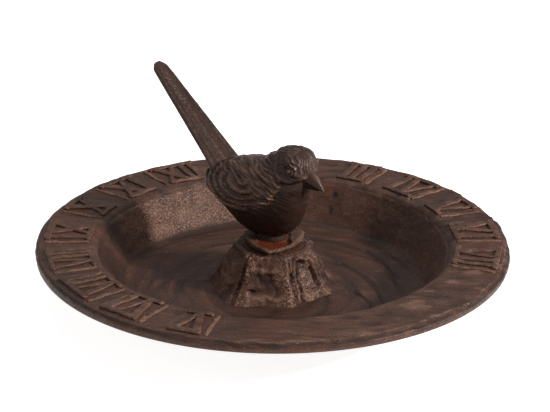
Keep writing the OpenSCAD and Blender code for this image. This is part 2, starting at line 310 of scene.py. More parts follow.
def lip_start(x, y, r):
    """Radius at which the rim's top layer breaks off at its outer edge."""
    u, v = in_photo(x, y)
    front = ease(-0.2, 0.9, (0.75 * u - 0.65 * v) / max(r, MM))
    wave = swell((x, y, 0), 17 * MM, 8.8, 4) + 0.35 * swell((x, y, 0), 4 * MM, 5.8, 2)
    return RIM_R - max(0.6, 1.6 + 0.5 * front + (0.8 + 1.5 * front) * wave) * MM, front


def outer_drop(x, y, r):
    """How far the rim's broken outer edge falls at a plan point."""
    start, front = lip_start(x, y, r)
    step = ease(0, 0.6 * MM, r - start)
    slope = max(0.0, (r - start) / (RIM_R + MM - start))
    return (step * (0.2 + 1.3 * front) + slope * 0.8) * MM


def rim_skin(x, y, z, r):
    """Move of a point of the rim, how rubbed it is, with painted highlights and shade at the hours' near
    edges and the broken lip, and how grainy it is, with painted glints.
    """
    h = rim_relief(x, y)
    lift = (z - (RIM_Z - RIM_EDGE_T)) / RIM_EDGE_T
    start, front = lip_start(x, y, r)
    drop = outer_drop(x, y, r) if r > BOWL_R + 10 * MM else 0
    edge = ease(RIM_R - 1.5 * MM, RIM_R - 6 * MM, r)
    lip = ease(BOWL_R + 4 * MM, BOWL_R - 1.5 * MM, r)
    move = Vector((0, 0, lift * (h * (0.35 + 0.65 * edge) - drop)))
    move.z -= lip * 0.6 * MM * (1 + 1.3 * swell((x, y, 0), 11 * MM, 6.6, 3))
    pull = ease(RIM_R - 4 * MM, RIM_R, r) * 0.75 * MM * (0.5 + 0.5 * swell((x, y, z), 9 * MM, 7.3, 3))
    move -= Vector((x / r, y / r, 0)) * pull
    on_block, near = hour_block(x, y)
    past = (r - start) / MM
    # Painted highlight along the brink of the broken lip and painted shade just past it, stronger towards
    # the front, a little darker further out, with painted glints on the brink in patches
    broken = 0.3 + 0.7 * front
    mark = 0.5 + h / sizes().rim_swell * 0.3 - 0.34 * on_block
    mark += broken * (0.3 * bump_at(past, -0.7, 0.7) - 0.8 * bump_at(past, 0.7, 0.7))
    # Painted highlight with painted glints along the near edge of each hour's block
    mark += 0.6 * near - 0.15 * ease(1.2, 2.2, past)
    chips = ease(0.0, 0.5, swell((x, y, 0), 12 * MM, 3.7, 2))
    band = ease(RIM_Z - 2.0 * MM, RIM_Z - 2.8 * MM, z)
    mark += (0.6 - mark) * band
    grit_and_glints = (0.9 * near + bump_at(past, -0.5, 0.8) * chips * front) * (1 - band)
    return move, clamp(mark), clamp(grit_and_glints)


def bowl_skin(x, y, z, r):
    """How far a point of the bowl stands out in millimetres, its mark, with the bird's painted shadow on the
    left wall and a painted highlight on the back-left wall, and its grain share, with painted glints.
    """
    u, v = in_photo(x, y)
    wall = ease(FLOOR_R - 4 * MM, FLOOR_R + 5 * MM, r)
    broad = swell((x, y, z), 30 * MM, 2.9, 2)
    lumps = swell((x, y, 2 * z), 11 * MM, 5.9, 3)
    turn = math.atan2(v, u)
    swirl = r + 18 * MM * math.sin(turn)
    curl = swell((swirl, turn * 9 * MM, 0), 7 * MM, 9.1, 3)
    cut = crease((swirl, turn * 16 * MM, 0.4), 15 * MM, 1.9)
    crack = crack_depth(x, y) * (1 - wall)
    height = 0.8 * broad * (0.35 + 0.65 * wall) + 0.6 * lumps * wall
    height += (1 - wall) * (0.75 * curl - 0.7 * cut) - 1.7 * crack
    height -= 0.8 * bump_at(r, FLOOR_R - 1 * MM, 2.5 * MM) * ease(0.1, 0.8, v / r)
    degrees = math.degrees(turn) + 9 * swell((x, y, z), 12 * MM, 7.9, 2)
    # Painted highlight over real grain: the back-left wall's coarse sand-cast grain is painted brighter,
    # with glints, where the light falls on it
    sandy_lit_patch = ease(92, 108, degrees) * ease(168, 146, degrees) * ease(0.35, 0.8, wall)
    pits = max(bump_at(math.hypot(u - pu * MM, v - pv * MM), 0, 1.2 * MM) for pu, pv in WALL_PITS)
    height -= 1.2 * pits
    # The bowl's floor is painted darker, more towards the front
    floor_darkening = (1 - wall) * (0.1 + 0.14 * ease(-25 * MM, -60 * MM, v))
    mark = 0.47 + 0.24 * height + 0.1 * sandy_lit_patch * (1 + 2 * lumps) - 0.6 * crack - 0.4 * pits - floor_darkening
    # Painted shadow: the bird's cast shadow painted as a darker patch on the left wall
    bird_shadow_degrees = degrees % 360
    mark -= 0.26 * ease(150, 166, bird_shadow_degrees) * ease(232, 200, bird_shadow_degrees) * ease(0.1, 0.6, wall)
    return height, clamp(mark), 0.8 * clamp(sandy_lit_patch)


def shape_dish(bm, relief, grit_and_glints):
    bmesh.ops.recalc_face_normals(bm, faces=bm.faces)
    bm.normal_update()
    moves = []
    for vert in bm.verts:
        x, y, z = vert.co
        r = math.hypot(x, y)
        on_top = z > RIM_Z - RIM_EDGE_T + 0.5 * MM and r > BOWL_R - 2 * MM
        faces_in = vert.normal.dot(Vector((-x, -y, r + MM))) > 0
        in_bowl = r <= BOWL_R - 2 * MM and faces_in and z >= FLOOR_Z - MM
        # rough carries the grain share, with its painted glints
        move, mark, rough = Vector(), 0.5, 0.0
        if on_top:
            move, mark, rough = rim_skin(x, y, z, r)
        elif in_bowl and r > BOSS_R + MM:
            height, mark, rough = bowl_skin(x, y, z, r)
            move = vert.normal * height * 0.75 * MM
        moves.append((vert, move, mark, rough))
    for vert, move, mark, rough in moves:
        vert.co += move
        vert[relief] = mark
        vert[grit_and_glints] = rough


class BIRDBATH_OT_dish(bpy.types.Operator):
    """Spins the dish from its half section and works its chiselled skin"""
    bl_idname = "birdbath.dish"
    bl_label = "Cast dish"

    def execute(self, context):
        foot_r = sizes().foot_diameter / 2
        foot_h = 3.5 * MM
        foot_w = 8 * MM
        recess_r = SEAL_HIGH.x + 1.5 * MM
        bore = BOLT_R + BOLT_CLEARANCE
        slant = WALL_LEAN / (RIM_Z - FLOOR_Z)
        wall = WALL_T * math.hypot(1, slant)
        under_z = RIM_Z - RIM_EDGE_T
        corners = (
            (bore, BOSS_TOP, 0),
            (bore, SEAL_HIGH.z, 0),
            (recess_r, SEAL_HIGH.z, 0.6 * MM),
            (recess_r, foot_h, 0.8 * MM),
            (foot_r - foot_w, foot_h, 1.2 * MM),
            (foot_r - foot_w + MM, 0, 0.5 * MM),
            (foot_r - MM, 0, 0.5 * MM),
            (foot_r, foot_h, 1.2 * MM),
            (FLOOR_R + wall - (FLOOR_Z - foot_h) * slant, foot_h, 7 * MM),
            (FLOOR_R + wall + (under_z - FLOOR_Z) * slant, under_z, 2 * MM),
            (RIM_R, under_z, 1.5 * MM),
            (RIM_R, RIM_Z, 1.3 * MM),
            (BOWL_R, RIM_Z, 1.8 * MM),
            (FLOOR_R, FLOOR_Z, 5.4 * MM),
            (BOSS_R, FLOOR_Z, 0),
            (BOSS_R - MM, BOSS_TOP, 0.6 * MM),
        )
        bm, relief, grit_and_glints = new_skin("relief", "grit_and_glints")

        def longest(at):
            inside = at.x < FLOOR_R + (at.z - FLOOR_Z) * slant + wall / 2
            skin = at.z > RIM_Z - RIM_EDGE_T + MM or inside
            if at.x < BOSS_R + MM or not skin or at.z < FLOOR_Z - MM:
                return 6 * MM
            if at.x > RIM_R - 10 * MM:
                return 0.65 * MM
            return (1.05 if at.x > FLOOR_R - 8 * MM else 1.2) * MM

        wire_section(bm, corners, longest)
        bmesh.ops.spin(
            bm, geom=bm.verts[:] + bm.edges[:], axis=(0, 0, 1), cent=(0, 0, 0),
            angle=2 * math.pi, steps=DISH_STEPS, use_merge=True,
        )
        shape_dish(bm, relief, grit_and_glints)
        add_piece("dish_casting", bm, "stand", ("dish",), iron_material("dish_iron", "iron"))
        return {"FINISHED"}


# Hours


def dial_point(turn, r):
    """Plan point at an angle from noon, clockwise, and a radius."""
    return Vector((r * math.sin(turn), r * math.cos(turn), 0))


def raised_stroke(start, end, width_start, width_end, height):
    """A raised bar between two plan points, with worn upper edges, as a mesh."""
    along = (end - start).normalized()
    aside = Vector((-along.y, along.x, 0))
    bm = bmesh.new()
    cuts = max(4, int((end - start).length / (1.3 * MM)))
    bmesh.ops.create_grid(bm, x_segments=cuts, y_segments=2, size=0.5)
    for vert in bm.verts:
        share = vert.co.x + 0.5
        width = width_start + (width_end - width_start) * share
        vert.co = start.lerp(end, share) + aside * (vert.co.y * width)
    made = bmesh.ops.extrude_face_region(bm, geom=bm.faces[:])["geom"]
    raised = {g for g in made if isinstance(g, bmesh.types.BMVert)}
    bmesh.ops.translate(bm, verts=list(raised), vec=(0, 0, height))
    bmesh.ops.recalc_face_normals(bm, faces=bm.faces[:])
    brink = [
        e for e in bm.edges
        if set(e.verts) <= raised and sum(abs(f.normal.z) > 0.5 for f in e.link_faces) == 1
    ]
    bmesh.ops.bevel(
        bm, geom=brink, offset=0.55 * MM, affect="EDGES", segments=3, profile=0.5,
        material=-1, clamp_overlap=True,
    )
    mesh = bpy.data.meshes.new("stroke")
    bm.to_mesh(mesh)
    bm.free()
    return mesh


def rough_edge(word, noon_turn):
    """The rough bead along the side of an hour's block that is nearest to the front."""
    reach = numeral_span(word) / 2 + math.radians(1.5)
    sides = [
        (dial_point(turn, HOUR_IN - MM), dial_point(turn, HOUR_OUT + MM))
        for turn in (noon_turn + reach, noon_turn - reach)
    ]
    start, end = min(sides, key=lambda ends: in_photo(ends[1].x, ends[1].y)[1])
    return start, end, 2.0 * MM, 2.4 * MM


def hour_strokes(word, noon_turn):
    """Strokes of a numeral as (start, end, width at start, width at end) on the dial."""
    wide = sizes().hour_stroke * squeeze(word)
    span = numeral_span(word)
    left = noon_turn - span / 2
    strokes = []
    for glyph in word:
        right = left + GLYPH_TURN[glyph] * squeeze(word)
        mid = (left + right) / 2
        edge = math.radians(0.95) * squeeze(word)
        if glyph == "I":
            strokes.append((mid, HOUR_IN, mid, HOUR_OUT, wide * 0.95, wide * 1.1))
        if glyph == "V":
            strokes.append((left + edge, HOUR_OUT, mid, HOUR_IN, wide * 1.25, wide * 1.05))
            strokes.append((right - edge, HOUR_OUT, mid, HOUR_IN, wide * 0.8, wide * 0.8))
        if glyph == "X":
            strokes.append((left + edge, HOUR_OUT, right - edge, HOUR_IN, wide * 1.2, wide * 1.1))
            strokes.append((right - edge, HOUR_OUT, left + edge, HOUR_IN, wide * 0.75, wide * 0.75))
        left = right
    reach = span / 2 + math.radians(0.3)
    for r, width in ((HOUR_IN, wide * 0.9), (HOUR_OUT, wide)):
        strokes.append((noon_turn - reach, r, noon_turn + reach, r, width, width))
    return [(dial_point(a, r0), dial_point(b, r1), w0, w1) for a, r0, b, r1, w0, w1 in strokes]


class BIRDBATH_OT_hours(bpy.types.Operator):
    """Raises the Roman hours on the rim"""
    bl_idname = "birdbath.hours"
    bl_label = "Hours"

    def execute(self, context):
        bm, relief, grit_and_glints = new_skin("relief", "grit_and_glints")
        sunk = 0.8 * MM
        for k in range(sizes().hour_count):
            hour = sizes().first_hour + k
            word, turn = ROMAN[(hour - 1) % 12], (hour - 12) * sizes().hour_step
            for n, stroke in enumerate([rough_edge(word, turn)] + hour_strokes(word, turn)):
                uneven = 0.92 + 0.08 * math.sin(3.7 * k + 2.1 * n)
                height = sizes().hour_relief * uneven + sunk
                mesh = raised_stroke(*stroke, height * (1 if n else 0.75))
                before = len(bm.verts)
                bm.from_mesh(mesh)
                bpy.data.meshes.remove(mesh)
                bm.verts.ensure_lookup_table()
                for vert in bm.verts[before:]:
                    vert[grit_and_glints] = 0.0 if n else 1.0
        bm.normal_update()
        facing = [in_photo(vert.normal.x, vert.normal.y) for vert in bm.verts]
        for vert, (rightward, away) in zip(bm.verts, facing):
            x, y, z = vert.co
            top = z > 0.4 * MM
            lit = ease(0.15, 0.6, 0.5 * rightward - 0.85 * away)
            shaded = ease(0.15, 0.6, 0.85 * away - 0.3 * rightward)
            wear = swell((x, y, 0), 5 * MM, 3.3, 3)
            vert.co.x += 0.35 * MM * swell((x, y, 0.2), 4 * MM, 5.5, 2)
            vert.co.y += 0.35 * MM * swell((x, y, 0.7), 4 * MM, 6.5, 2)
            vert.co.z = RIM_Z - sunk + z + rim_relief(x, y) + (0.3 * MM * wear if top else 0)
            vert.co.z -= outer_drop(x, y, math.hypot(x, y))
            # Painted highlights: the bead on each block's front side and the faces turned to the light are
            # painted brighter with glints, over the bead's real rough bumps
            rough = vert[grit_and_glints] * ease(-0.35, 0.15, swell((x, y, 0), 16 * MM, 4.9, 2))
            vert.co.z += rough * 0.4 * MM * swell((x, y, 0.4), 1.7 * MM, 2.6, 2)
            mark = 0.56 + 0.3 * wear + 0.2 * lit - 0.45 * shaded + 0.5 * rough
            grit_glint_share = 0.5 * swell((x, y, 0), 9 * MM, 1.3, 2) + 0.5 * lit + rough
            vert[relief] = clamp(mark) if top else 0.1
            vert[grit_and_glints] = clamp(grit_glint_share) if top else 0.0
        add_piece("hour_numerals", bm, "stand", ("dish",), iron_material("hour_iron", "iron"))
        return {"FINISHED"}


# Rock

# Upright faces of the rock: where each starts, as degrees to the right of the photograph's
# front, how its face leans in from foot to top, and how far it stands out
ROCK_FACES = (
    (-95, 14.0, 0.8), (-37, 13.0, 0.9), (22, 12.5, -0.9), (59, 12.5, 0.5), (68, 13.5, 1.3),
    (78, 13.0, 0.3), (92, 12.5, 1.0), (118, 14.0, 0.2), (150, 13.0, 1.1), (185, 14.0, 0.1),
    (220, 13.0, 1.0), (242, 14.0, 0.2),
)
# Ridges and grooves of the arch on the rock's right: how far out, and how rubbed
ARCH_FORM = ((0.2, 0.5, 1.6), (0.98, 0.17, -1.7), (1.28, 0.14, 1.0), (1.75, 0.16, 0.5), (1.52, 0.11, -0.8))
ARCH_WEAR = ((0.1, 0.6, 0.55), (1.28, 0.12, 0.35), (1.75, 0.14, 0.25), (0.98, 0.17, -0.5))


def rock_radius(front, height):
    """Radius of the rock's flat faces, in millimetres, at degrees right of the front and a height."""
    here = max(k for k, face in enumerate(ROCK_FACES) if front >= face[0])
    start, lean, out = ROCK_FACES[here]
    end = ROCK_FACES[here + 1][0] if here + 1 < len(ROCK_FACES) else 265
    off = math.radians(front - (start + end) / 2)
    base = 34.6 - lean * height ** 0.9 + out
    flat = base * math.cos(math.radians((end - start) / 4)) / math.cos(off)
    near = min(front - start, end - front)
    cleft = bump_at(near, 0, 2.0) * sizes().cleft_depth / MM
    return min(flat, base * 1.07) - cleft * (0.35 + 0.65 * math.sin(math.pi * min(1, height * 1.15)))


def rock_details(front, height):
    """The front block's hollows and the arch on the right: how far out, how rubbed, and how grainy with
    painted glints.
    """
    out, rub = 0.0, 0.0
    in_block = ease(-39, -35, front) * ease(24, 20, front)
    wander = swell((front / 9, height * 4, 0), 1.0, 2.9, 3)
    step = 0.65 + 0.0055 * max(0, front + 4) + 0.07 * wander
    out -= 1.4 * ease(step - 0.02, step + 0.09, height) * in_block
    rub += 0.45 * bump_at(height, step + 0.02, 0.04) * in_block * ease(-0.5, 0.3, wander)
    under = step - 0.12 + 0.06 * wander
    out -= 0.45 * bump_at(height, under, 0.04) * ease(-12, 4, front) * ease(24, 18, front)
    out -= 1.9 * bump_at(front, -23, 3.6) * bump_at(height, 0.23, 0.04)
    out -= 0.5 * bump_at(front, -16, 16) * bump_at(height, 0.2 + 0.05 * wander, 0.06)
    out += 0.6 * bump_at(height, 0.13 + 0.06 * wander, 0.06) * in_block
    rub += 0.4 * bump_at(height, 0.16 + 0.08 * wander, 0.06) * in_block
    across = (front - 42) / (11 if front < 42 else 15)
    over = max(0.0, (height - 0.48 - 0.12 * ease(42, 70, front)) / 0.3)
    ring = math.hypot(across, over) + 0.26 * swell((front / 9, height * 4, 0), 1.0, 4.7, 2)
    side = ease(20, 27, front) * ease(92, 80, front)
    out += side * ripple(ring, ARCH_FORM)
    rub += side * ripple(ring, ARCH_WEAR)
    rub += 0.3 * ease(-95, -80, front) * ease(-36, -42, front)
    out -= 1.3 * bump_at(front, 45, 11) * bump_at(height, 0.17 + 0.02 * math.sin(front / 3), 0.03)
    flare = 1.0 + 1.4 * ease(30, 75, front) * ease(110, 80, front)
    out += flare * ease(0.14, 0, height) ** 1.5
    out += 2.2 * ease(0.06, 0, height) ** 2
    corners = ripple(front, ((-34, 9, 0.6), (18, 9, 0.6)))
    grit_and_glints = clamp(side * bump_at(ring, 0.0, 0.8) + corners)
    return out, rub, grit_and_glints


def rock_skin(angle, height):
    """Point of the rock's outer skin with its ledges and broken grain."""
    front = degrees_right(angle, -95)
    flat = rock_radius(front, height)
    out, rub, grit_and_glints = rock_details(front, height)
    probe = (math.cos(angle) * flat, math.sin(angle) * flat, height * 26)
    ledge = math.sin(height * 9 + 2.2 * swell(probe, 22, 4.1, 2) + front / 30)
    split = abs(swell(probe, 9, 6.7, 3))
    chips = swell(probe, 3.2, 9.7, 2)
    shoulder = 2.2 * ease(0.93, 1.0, height)
    lumps = swell(probe, 13, 1.1, 3)
    r = flat + out + 0.4 * ledge * ease(0.1, 0.3, height) - 0.8 * max(0, 0.28 - split)
    r += 0.3 * chips - shoulder + 1.5 * lumps
    mark = 0.36 + 0.1 * ledge + 0.2 * chips + 0.8 * rub - 0.5 * max(0, 0.25 - split) + 0.3 * lumps
    mark -= 0.15 * ease(0.06, 0, height)
    grit_and_glints = clamp(grit_and_glints + 0.6 * ease(0.1, 0.5, lumps) + 0.5 * bump_at(height, 0.93, 0.05))
    return Vector((math.cos(angle), math.sin(angle), 0)) * (r * MM), clamp(mark), grit_and_glints


def ring_of(bm, number):
    return bmesh.ops.create_circle(bm, segments=number, radius=1)["verts"]


def open_edges(ring):
    """Edges along a ring of vertices that a tube can still grow from."""
    members = set(ring)
    near = dict.fromkeys(edge for vert in ring for edge in vert.link_edges)
    return [edge for edge in near if set(edge.verts) <= members and len(edge.link_faces) < 2]


def grow_ring(bm, ring):
    """Extrudes a closed ring's edges and returns the new ring in the same order."""
    made = bmesh.ops.extrude_edge_only(bm, edges=open_edges(ring))["geom"]
    fresh = {v for v in made if isinstance(v, bmesh.types.BMVert)}
    return [next(e.other_vert(v) for e in v.link_edges if e.other_vert(v) in fresh) for v in ring]


def close_tube(bm, first, last):
    bmesh.ops.bridge_loops(bm, edges=open_edges(first) + open_edges(last))


def cap_ring(bm, ring):
    """Fills the open end of a tube with one face."""
    bmesh.ops.edgeloop_fill(bm, edges=open_edges(ring))


def set_ring(ring, r, z, layer, value):
    """Lays a ring of vertices on a level circle and gives them all one value."""
    for vert, turn in zip(ring, turns(len(ring))):
        vert.co = on_circle(turn, r, z)
        vert[layer] = value


class BIRDBATH_OT_rock(bpy.types.Operator):
    """Carves the rock mound that carries the perch stone"""
    bl_idname = "birdbath.rock"
    bl_label = "Rock"

    def execute(self, context):
        rows, top_rows, number = 92, 12, 340
        depth = RIM_Z - FLOOR_Z
        top_z = RIM_Z - 0.2 * MM
        recess, roof_z = BOSS_R + BOSS_CLEARANCE, BOSS_TOP + BOSS_CLEARANCE
        bm, relief, grit_and_glints = new_skin("relief", "grit_and_glints")
        angles = turns(number)
        first = ring = ring_of(bm, number)
        for row in range(rows + 1):
            height = row / rows
            if row:
                ring = grow_ring(bm, ring)
            for vert, angle in zip(ring, angles):
                flat, mark, rough = rock_skin(angle, height)
                sunk = 0.6 * MM if row == rows else 1.4 * MM * ease(0.05, 0, height)
                vert.co = flat + Vector((0, 0, FLOOR_Z + height * depth - sunk))
                vert[relief] = mark
                vert[grit_and_glints] = rough
        outer = [v.co.copy() for v in ring]
        for step in range(1, top_rows + 1):
            share = step / top_rows
            ring = grow_ring(bm, ring)
            for vert, angle, edge in zip(ring, angles, outer):
                r = edge.to_2d().length * (1 - share) + PIVOT_R * share
                z = top_z - 0.5 * MM * abs(swell(on_circle(angle, r, 0), 8 * MM, 2.2, 3))
                vert.co = on_circle(angle, r, z)
                vert[relief] = 0.4
        for r, z in ((PIVOT_R, roof_z), (recess, roof_z), (recess, FLOOR_Z)):
            ring = grow_ring(bm, ring)
            set_ring(ring, r, z, relief, 0.3)
        close_tube(bm, first, ring)
        iron = iron_material("rock_iron", "iron")
        add_piece("rock_casting", bm, "stand", ("rock_mound",), iron)
        return {"FINISHED"}


# Perch stone

# Corners of the broken stone: degrees to the right of the photograph's front, reach in
# millimetres, and how far the edge stands over the stone's flat top there
SLAB_EDGE = (
    (-109, 18.3, 0.4), (-69, 16.6, 0.7), (-40, 18.2, 0.5), (-18, 19.9, 0.1), (-7, 22.6, -0.9),
    (10, 20.0, -0.4), (45, 17.0, 0.5), (81, 17.2, 1.3), (96, 18.6, 2.1), (118, 16.6, 2.0),
    (140, 16.0, 0.6), (165, 17.8, 0.3), (195, 18.6, 0.5), (225, 17.2, 0.2),
)
# Half section of the stone from its foot over the edge to the middle: share of the reach,
# share of the thickness, and share of the edge's own rise
SLAB_PROFILE = (
    (0.9, 0.0, 0.0), (0.95, 0.25, 0.0), (0.985, 0.4, 0.1), (1.0, 0.6, 0.3), (0.99, 0.78, 0.7),
    (1.0, 0.94, 0.95), (0.985, 1.06, 1.0), (0.955, 1.1, 1.0), (0.92, 1.1, 0.9), (0.885, 1.09, 0.8),
    (0.85, 1.08, 0.7), (0.81, 1.07, 0.6), (0.77, 1.07, 0.5), (0.73, 1.06, 0.4), (0.69, 1.06, 0.3),
    (0.65, 1.05, 0.2), (0.61, 1.04, 0.1), (0.57, 1.02, 0.05), (0.53, 1.0, 0.0), (0.49, 0.97, 0.0),
    (0.45, 0.97, 0.0), (0.33, 0.97, 0.0),
)


def hollow_reach(front):
    """Radius in millimetres of the rusty hollow at degrees right of the photograph's front."""
    ahead = ease(-62, -28, front) * ease(72, 34, front)
    return 10.0 + 6.4 * ahead + 1.6 * bump_at(front, -7, 14) + 1.5 * ease(125, 160, front)


def slab_edge(front):
    """Reach and rise of the stone's edge at degrees right of the photograph's front."""
    corners = SLAB_EDGE + ((SLAB_EDGE[0][0] + 360, *SLAB_EDGE[0][1:]),)
    for (start, reach0, rise0), (end, reach1, rise1) in zip(corners, corners[1:]):
        if start <= front <= end:
            t = (front - start) / (end - start)
            chord = 1 - 4 * t * (1 - t) * (1 - math.cos(math.radians((end - start) / 2)))
            return (reach0 + (reach1 - reach0) * t) * chord, rise0 + (rise1 - rise0) * t


class BIRDBATH_OT_stone(bpy.types.Operator):
    """Breaks the flat rusty stone under the bird"""
    bl_idname = "birdbath.stone"
    bl_label = "Perch stone"

    def execute(self, context):
        number = 240
        low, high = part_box("perch_slab")
        thick = (high.z - low.z) / MM
        bm, relief, grit_and_glints = new_skin("relief", "grit_and_glints")
        angles = turns(number)
        first = ring = ring_of(bm, number)
        for row, (share, up, lift) in enumerate(SLAB_PROFILE):
            if row:
                ring = grow_ring(bm, ring)
            for vert, angle in zip(ring, angles):
                front = degrees_right(angle, -109)
                reach, rise = slab_edge(front)
                probe = on_circle(angle, 19, up * 5)
                broken = swell(probe, 2.6, 2.4, 3)
                r = share * (reach + 0.5 * broken)
                grain = swell(on_circle(angle, r, up * 3), 1.6, 3.9, 2)
                height = up * thick + lift * rise + (0.26 * grain if row else 0)
                past = r - hollow_reach(front) - 0.4 * broken
                sunk = ease(0.6, -0.9, past) if up > 0.95 else 0.0
                bed = thick - (0.08 if r < 9.2 else 0.75 + 0.15 * grain)
                height = height + (bed - height) * sunk
                z = low.z + max(0.0, height) * MM
                vert.co = on_circle(angle, r * MM, z)
                facing = ease(75, 30, abs(front - 38))
                pale = 0.3 * bump_at(front, 85, 32)
                vert[relief] = clamp((0.58 + pale + 0.4 * grain) * (1 - sunk) + 0.1 * sunk)
                # Painted glints on the stone's upper edge, strongest on faces turned to the front-right
                vert[grit_and_glints] = (1 - sunk) * clamp(ease(0.5, 0.9, up) * (0.3 + 0.7 * facing))
        for z in (low.z + 0.97 * thick * MM, low.z):
            ring = grow_ring(bm, ring)
            set_ring(ring, PIVOT_R, z, relief, 0.3)
        close_tube(bm, first, ring)
        add_piece("perch_stone", bm, "stand", ("perch_slab",), stone_material())
        return {"FINISHED"}


# Bird

# Sections of the bird from the rump to the crown: place and height of the upper point,
# place and height of the lower point, and half width, in shares of length, height and width
BIRD_SECTIONS = (
    (-0.64, 0.44, -0.63, 0.4, 0.04), (-0.605, 0.51, -0.585, 0.345, 0.19),
    (-0.53, 0.615, -0.49, 0.27, 0.31), (-0.41, 0.705, -0.355, 0.17, 0.4),
    (-0.26, 0.765, -0.225, 0.055, 0.46), (-0.13, 0.8, -0.11, 0.01, 0.47),
    (-0.08, 0.832, 0.05, 0.03, 0.455), (-0.042, 0.858, 0.165, 0.095, 0.43),
    (-0.01, 0.889, 0.24, 0.21, 0.4), (0.028, 0.92, 0.283, 0.36, 0.375),
    (0.06, 0.952, 0.303, 0.5, 0.36), (0.097, 0.977, 0.327, 0.62, 0.355),
    (0.138, 0.993, 0.358, 0.74, 0.335), (0.183, 1, 0.36, 0.84, 0.28),
    (0.226, 1, 0.332, 0.92, 0.18), (0.262, 0.995, 0.29, 0.97, 0.035),
)
# Side-view places in the bird's frame, in millimetres
WING_EYE = Vector((-11, 36.3))
EYE = Vector((19.3, 49.6))
SKULL = Vector((15.5, 46))
CHEEK = Vector((16.8, 45.8))
BREAST_FOLD = Vector((26.5, 32.5))
# Ridges and grooves round the eye and over it: distance, width and height, then the marks
EYE_FORM = ((2.4, 0.45, 0.45), (1.75, 0.4, -0.6), (3.1, 0.4, -0.25))
EYE_WEAR = ((2.4, 0.45, 0.35), (1.75, 0.4, -0.6), (3.1, 0.4, -0.3))
BROW_FORM = ((3.9, 0.5, 0.42), (3.05, 0.35, -0.35), (4.8, 0.4, -0.3))
BROW_WEAR = ((3.9, 0.5, 0.4), (3.05, 0.35, -0.45), (4.8, 0.4, -0.3))
# Distances below the wing's middle at which one row of long feathers laps over the next
WING_ROWS = (0.0, 2.6, 7.2, 10.8, 13.8, 16.4, 19.5)
# Lower edge of the folded wing, from the rump to the shoulder
WING_EDGE = (
    (-44, 31), (-36.6, 26), (-30.4, 22.6), (-23, 20.2), (-14.3, 20.5), (-5.7, 22), (0.3, 24.4),
    (5.2, 27), (10, 31.5), (12.9, 35.7), (14.7, 40.3), (14, 45.3), (12.2, 49), (8, 55),
)
# Lower edge of the cheek's feathers, from the nape to the beak
CHEEK_EDGE = ((9, 47.5), (11.7, 44.3), (14.1, 42), (18.9, 41.4), (23.6, 42.8), (28.3, 44.2))


def bird_frame():
    """Matrix from the bird's own frame, beak to +X on the stone's top, to the row's."""
    return Matrix.Translation((0, 0, SLAB_TOP)) @ Matrix.Rotation(sizes().bird_turn - math.pi / 2, 4, "Z")


def through(rows, share):
    """Smooth curve through the rows of a table, at a share of its length."""
    last = len(rows) - 1
    place = min(share, 0.99999) * last
    k = int(place)
    f = place - k
    picks = [rows[min(max(k + d, 0), last)] for d in (-1, 0, 1, 2)]
    return [
        b + f / 2 * (c - a + f * (2 * a - 5 * b + 4 * c - d + f * (3 * b - a - 3 * c + d)))
        for a, b, c, d in zip(*picks)
    ]


def edge_distance(p, line):
    """Signed distance from a side-view line: positive on the left of its direction."""
    nearest, sign = 99.0, 1.0
    for a, b in zip(line, line[1:]):
        a, b = Vector(a), Vector(b)
        run = b - a
        t = clamp((p - a).dot(run) / run.length_squared)
        gap = (p - a.lerp(b, t)).length
        if gap < nearest:
            nearest, sign = gap, math.copysign(1.0, run.x * (p - a).y - run.y * (p - a).x)
    return nearest * sign


def strands(p, along, thick, seed):
    """Fine strokes that run along a direction, about -1 to 1."""
    along = Vector(along).normalized()
    run = p.dot(along)
    side = p.x * -along.y + p.y * along.x + 1.1 * swell((p.x, p.y, 0), 11, seed, 2)
    return swell((run / 5.5, side, 0), thick, seed + 0.7, 2)


def wing_shape(p):
    """How far a side-view point is on the wing, its feathers' height and their mark."""
    edge = edge_distance(p, WING_EDGE)
    on_wing = ease(-0.35, 0.5, edge)
    u, v = p.x - WING_EYE.x, p.y - WING_EYE.y - 0.08 * (p.x - WING_EYE.x)
    rho = math.hypot(u / 1.8, v) + 0.3 * swell((p.x, p.y, 0), 9, 1.3, 2)
    row = max(k for k, start in enumerate(WING_ROWS[:-1]) if rho >= start or k == 0)
    share = min(1.0, (rho - WING_ROWS[row]) / (WING_ROWS[row + 1] - WING_ROWS[row]))
    feather = math.sin(math.pi * share ** 1.4) ** 0.8
    split = bump_at((share * 2) % 1.0, 0.5, 0.16) * ease(0.05, 0.2, share) * (0.35 if row > 1 else 0)
    barb_turn = math.atan2(v, u / 1.8)
    barbs = math.sin(barb_turn * (14 + 8 * row) + share * 3.5 + 2 * swell((p.x, p.y, 0), 4, 3.3, 2))
    long_part = ease(11, -1, u + 0.5 * v) * ease(2.2, -0.8, v - 0.16 * max(0, -u - 3))
    cover = strands(p, (1, -0.38), 1.5, 4.2)
    relief = long_part * (feather - split + 0.05 * barbs) + (1 - long_part) * (0.45 + 0.75 * cover)
    mark = long_part * (0.18 + 0.6 * feather - split + 0.12 * barbs) + (1 - long_part) * (0.5 + 0.95 * cover)
    tip = bump_at(edge, 0.9, 0.9) * ease(14, 6, p.x)
    on_wing *= 1 - ease(38, 50, p.y) * ease(-6, 6, p.x)
    return on_wing, relief + 0.25 * tip, mark + 0.25 * tip


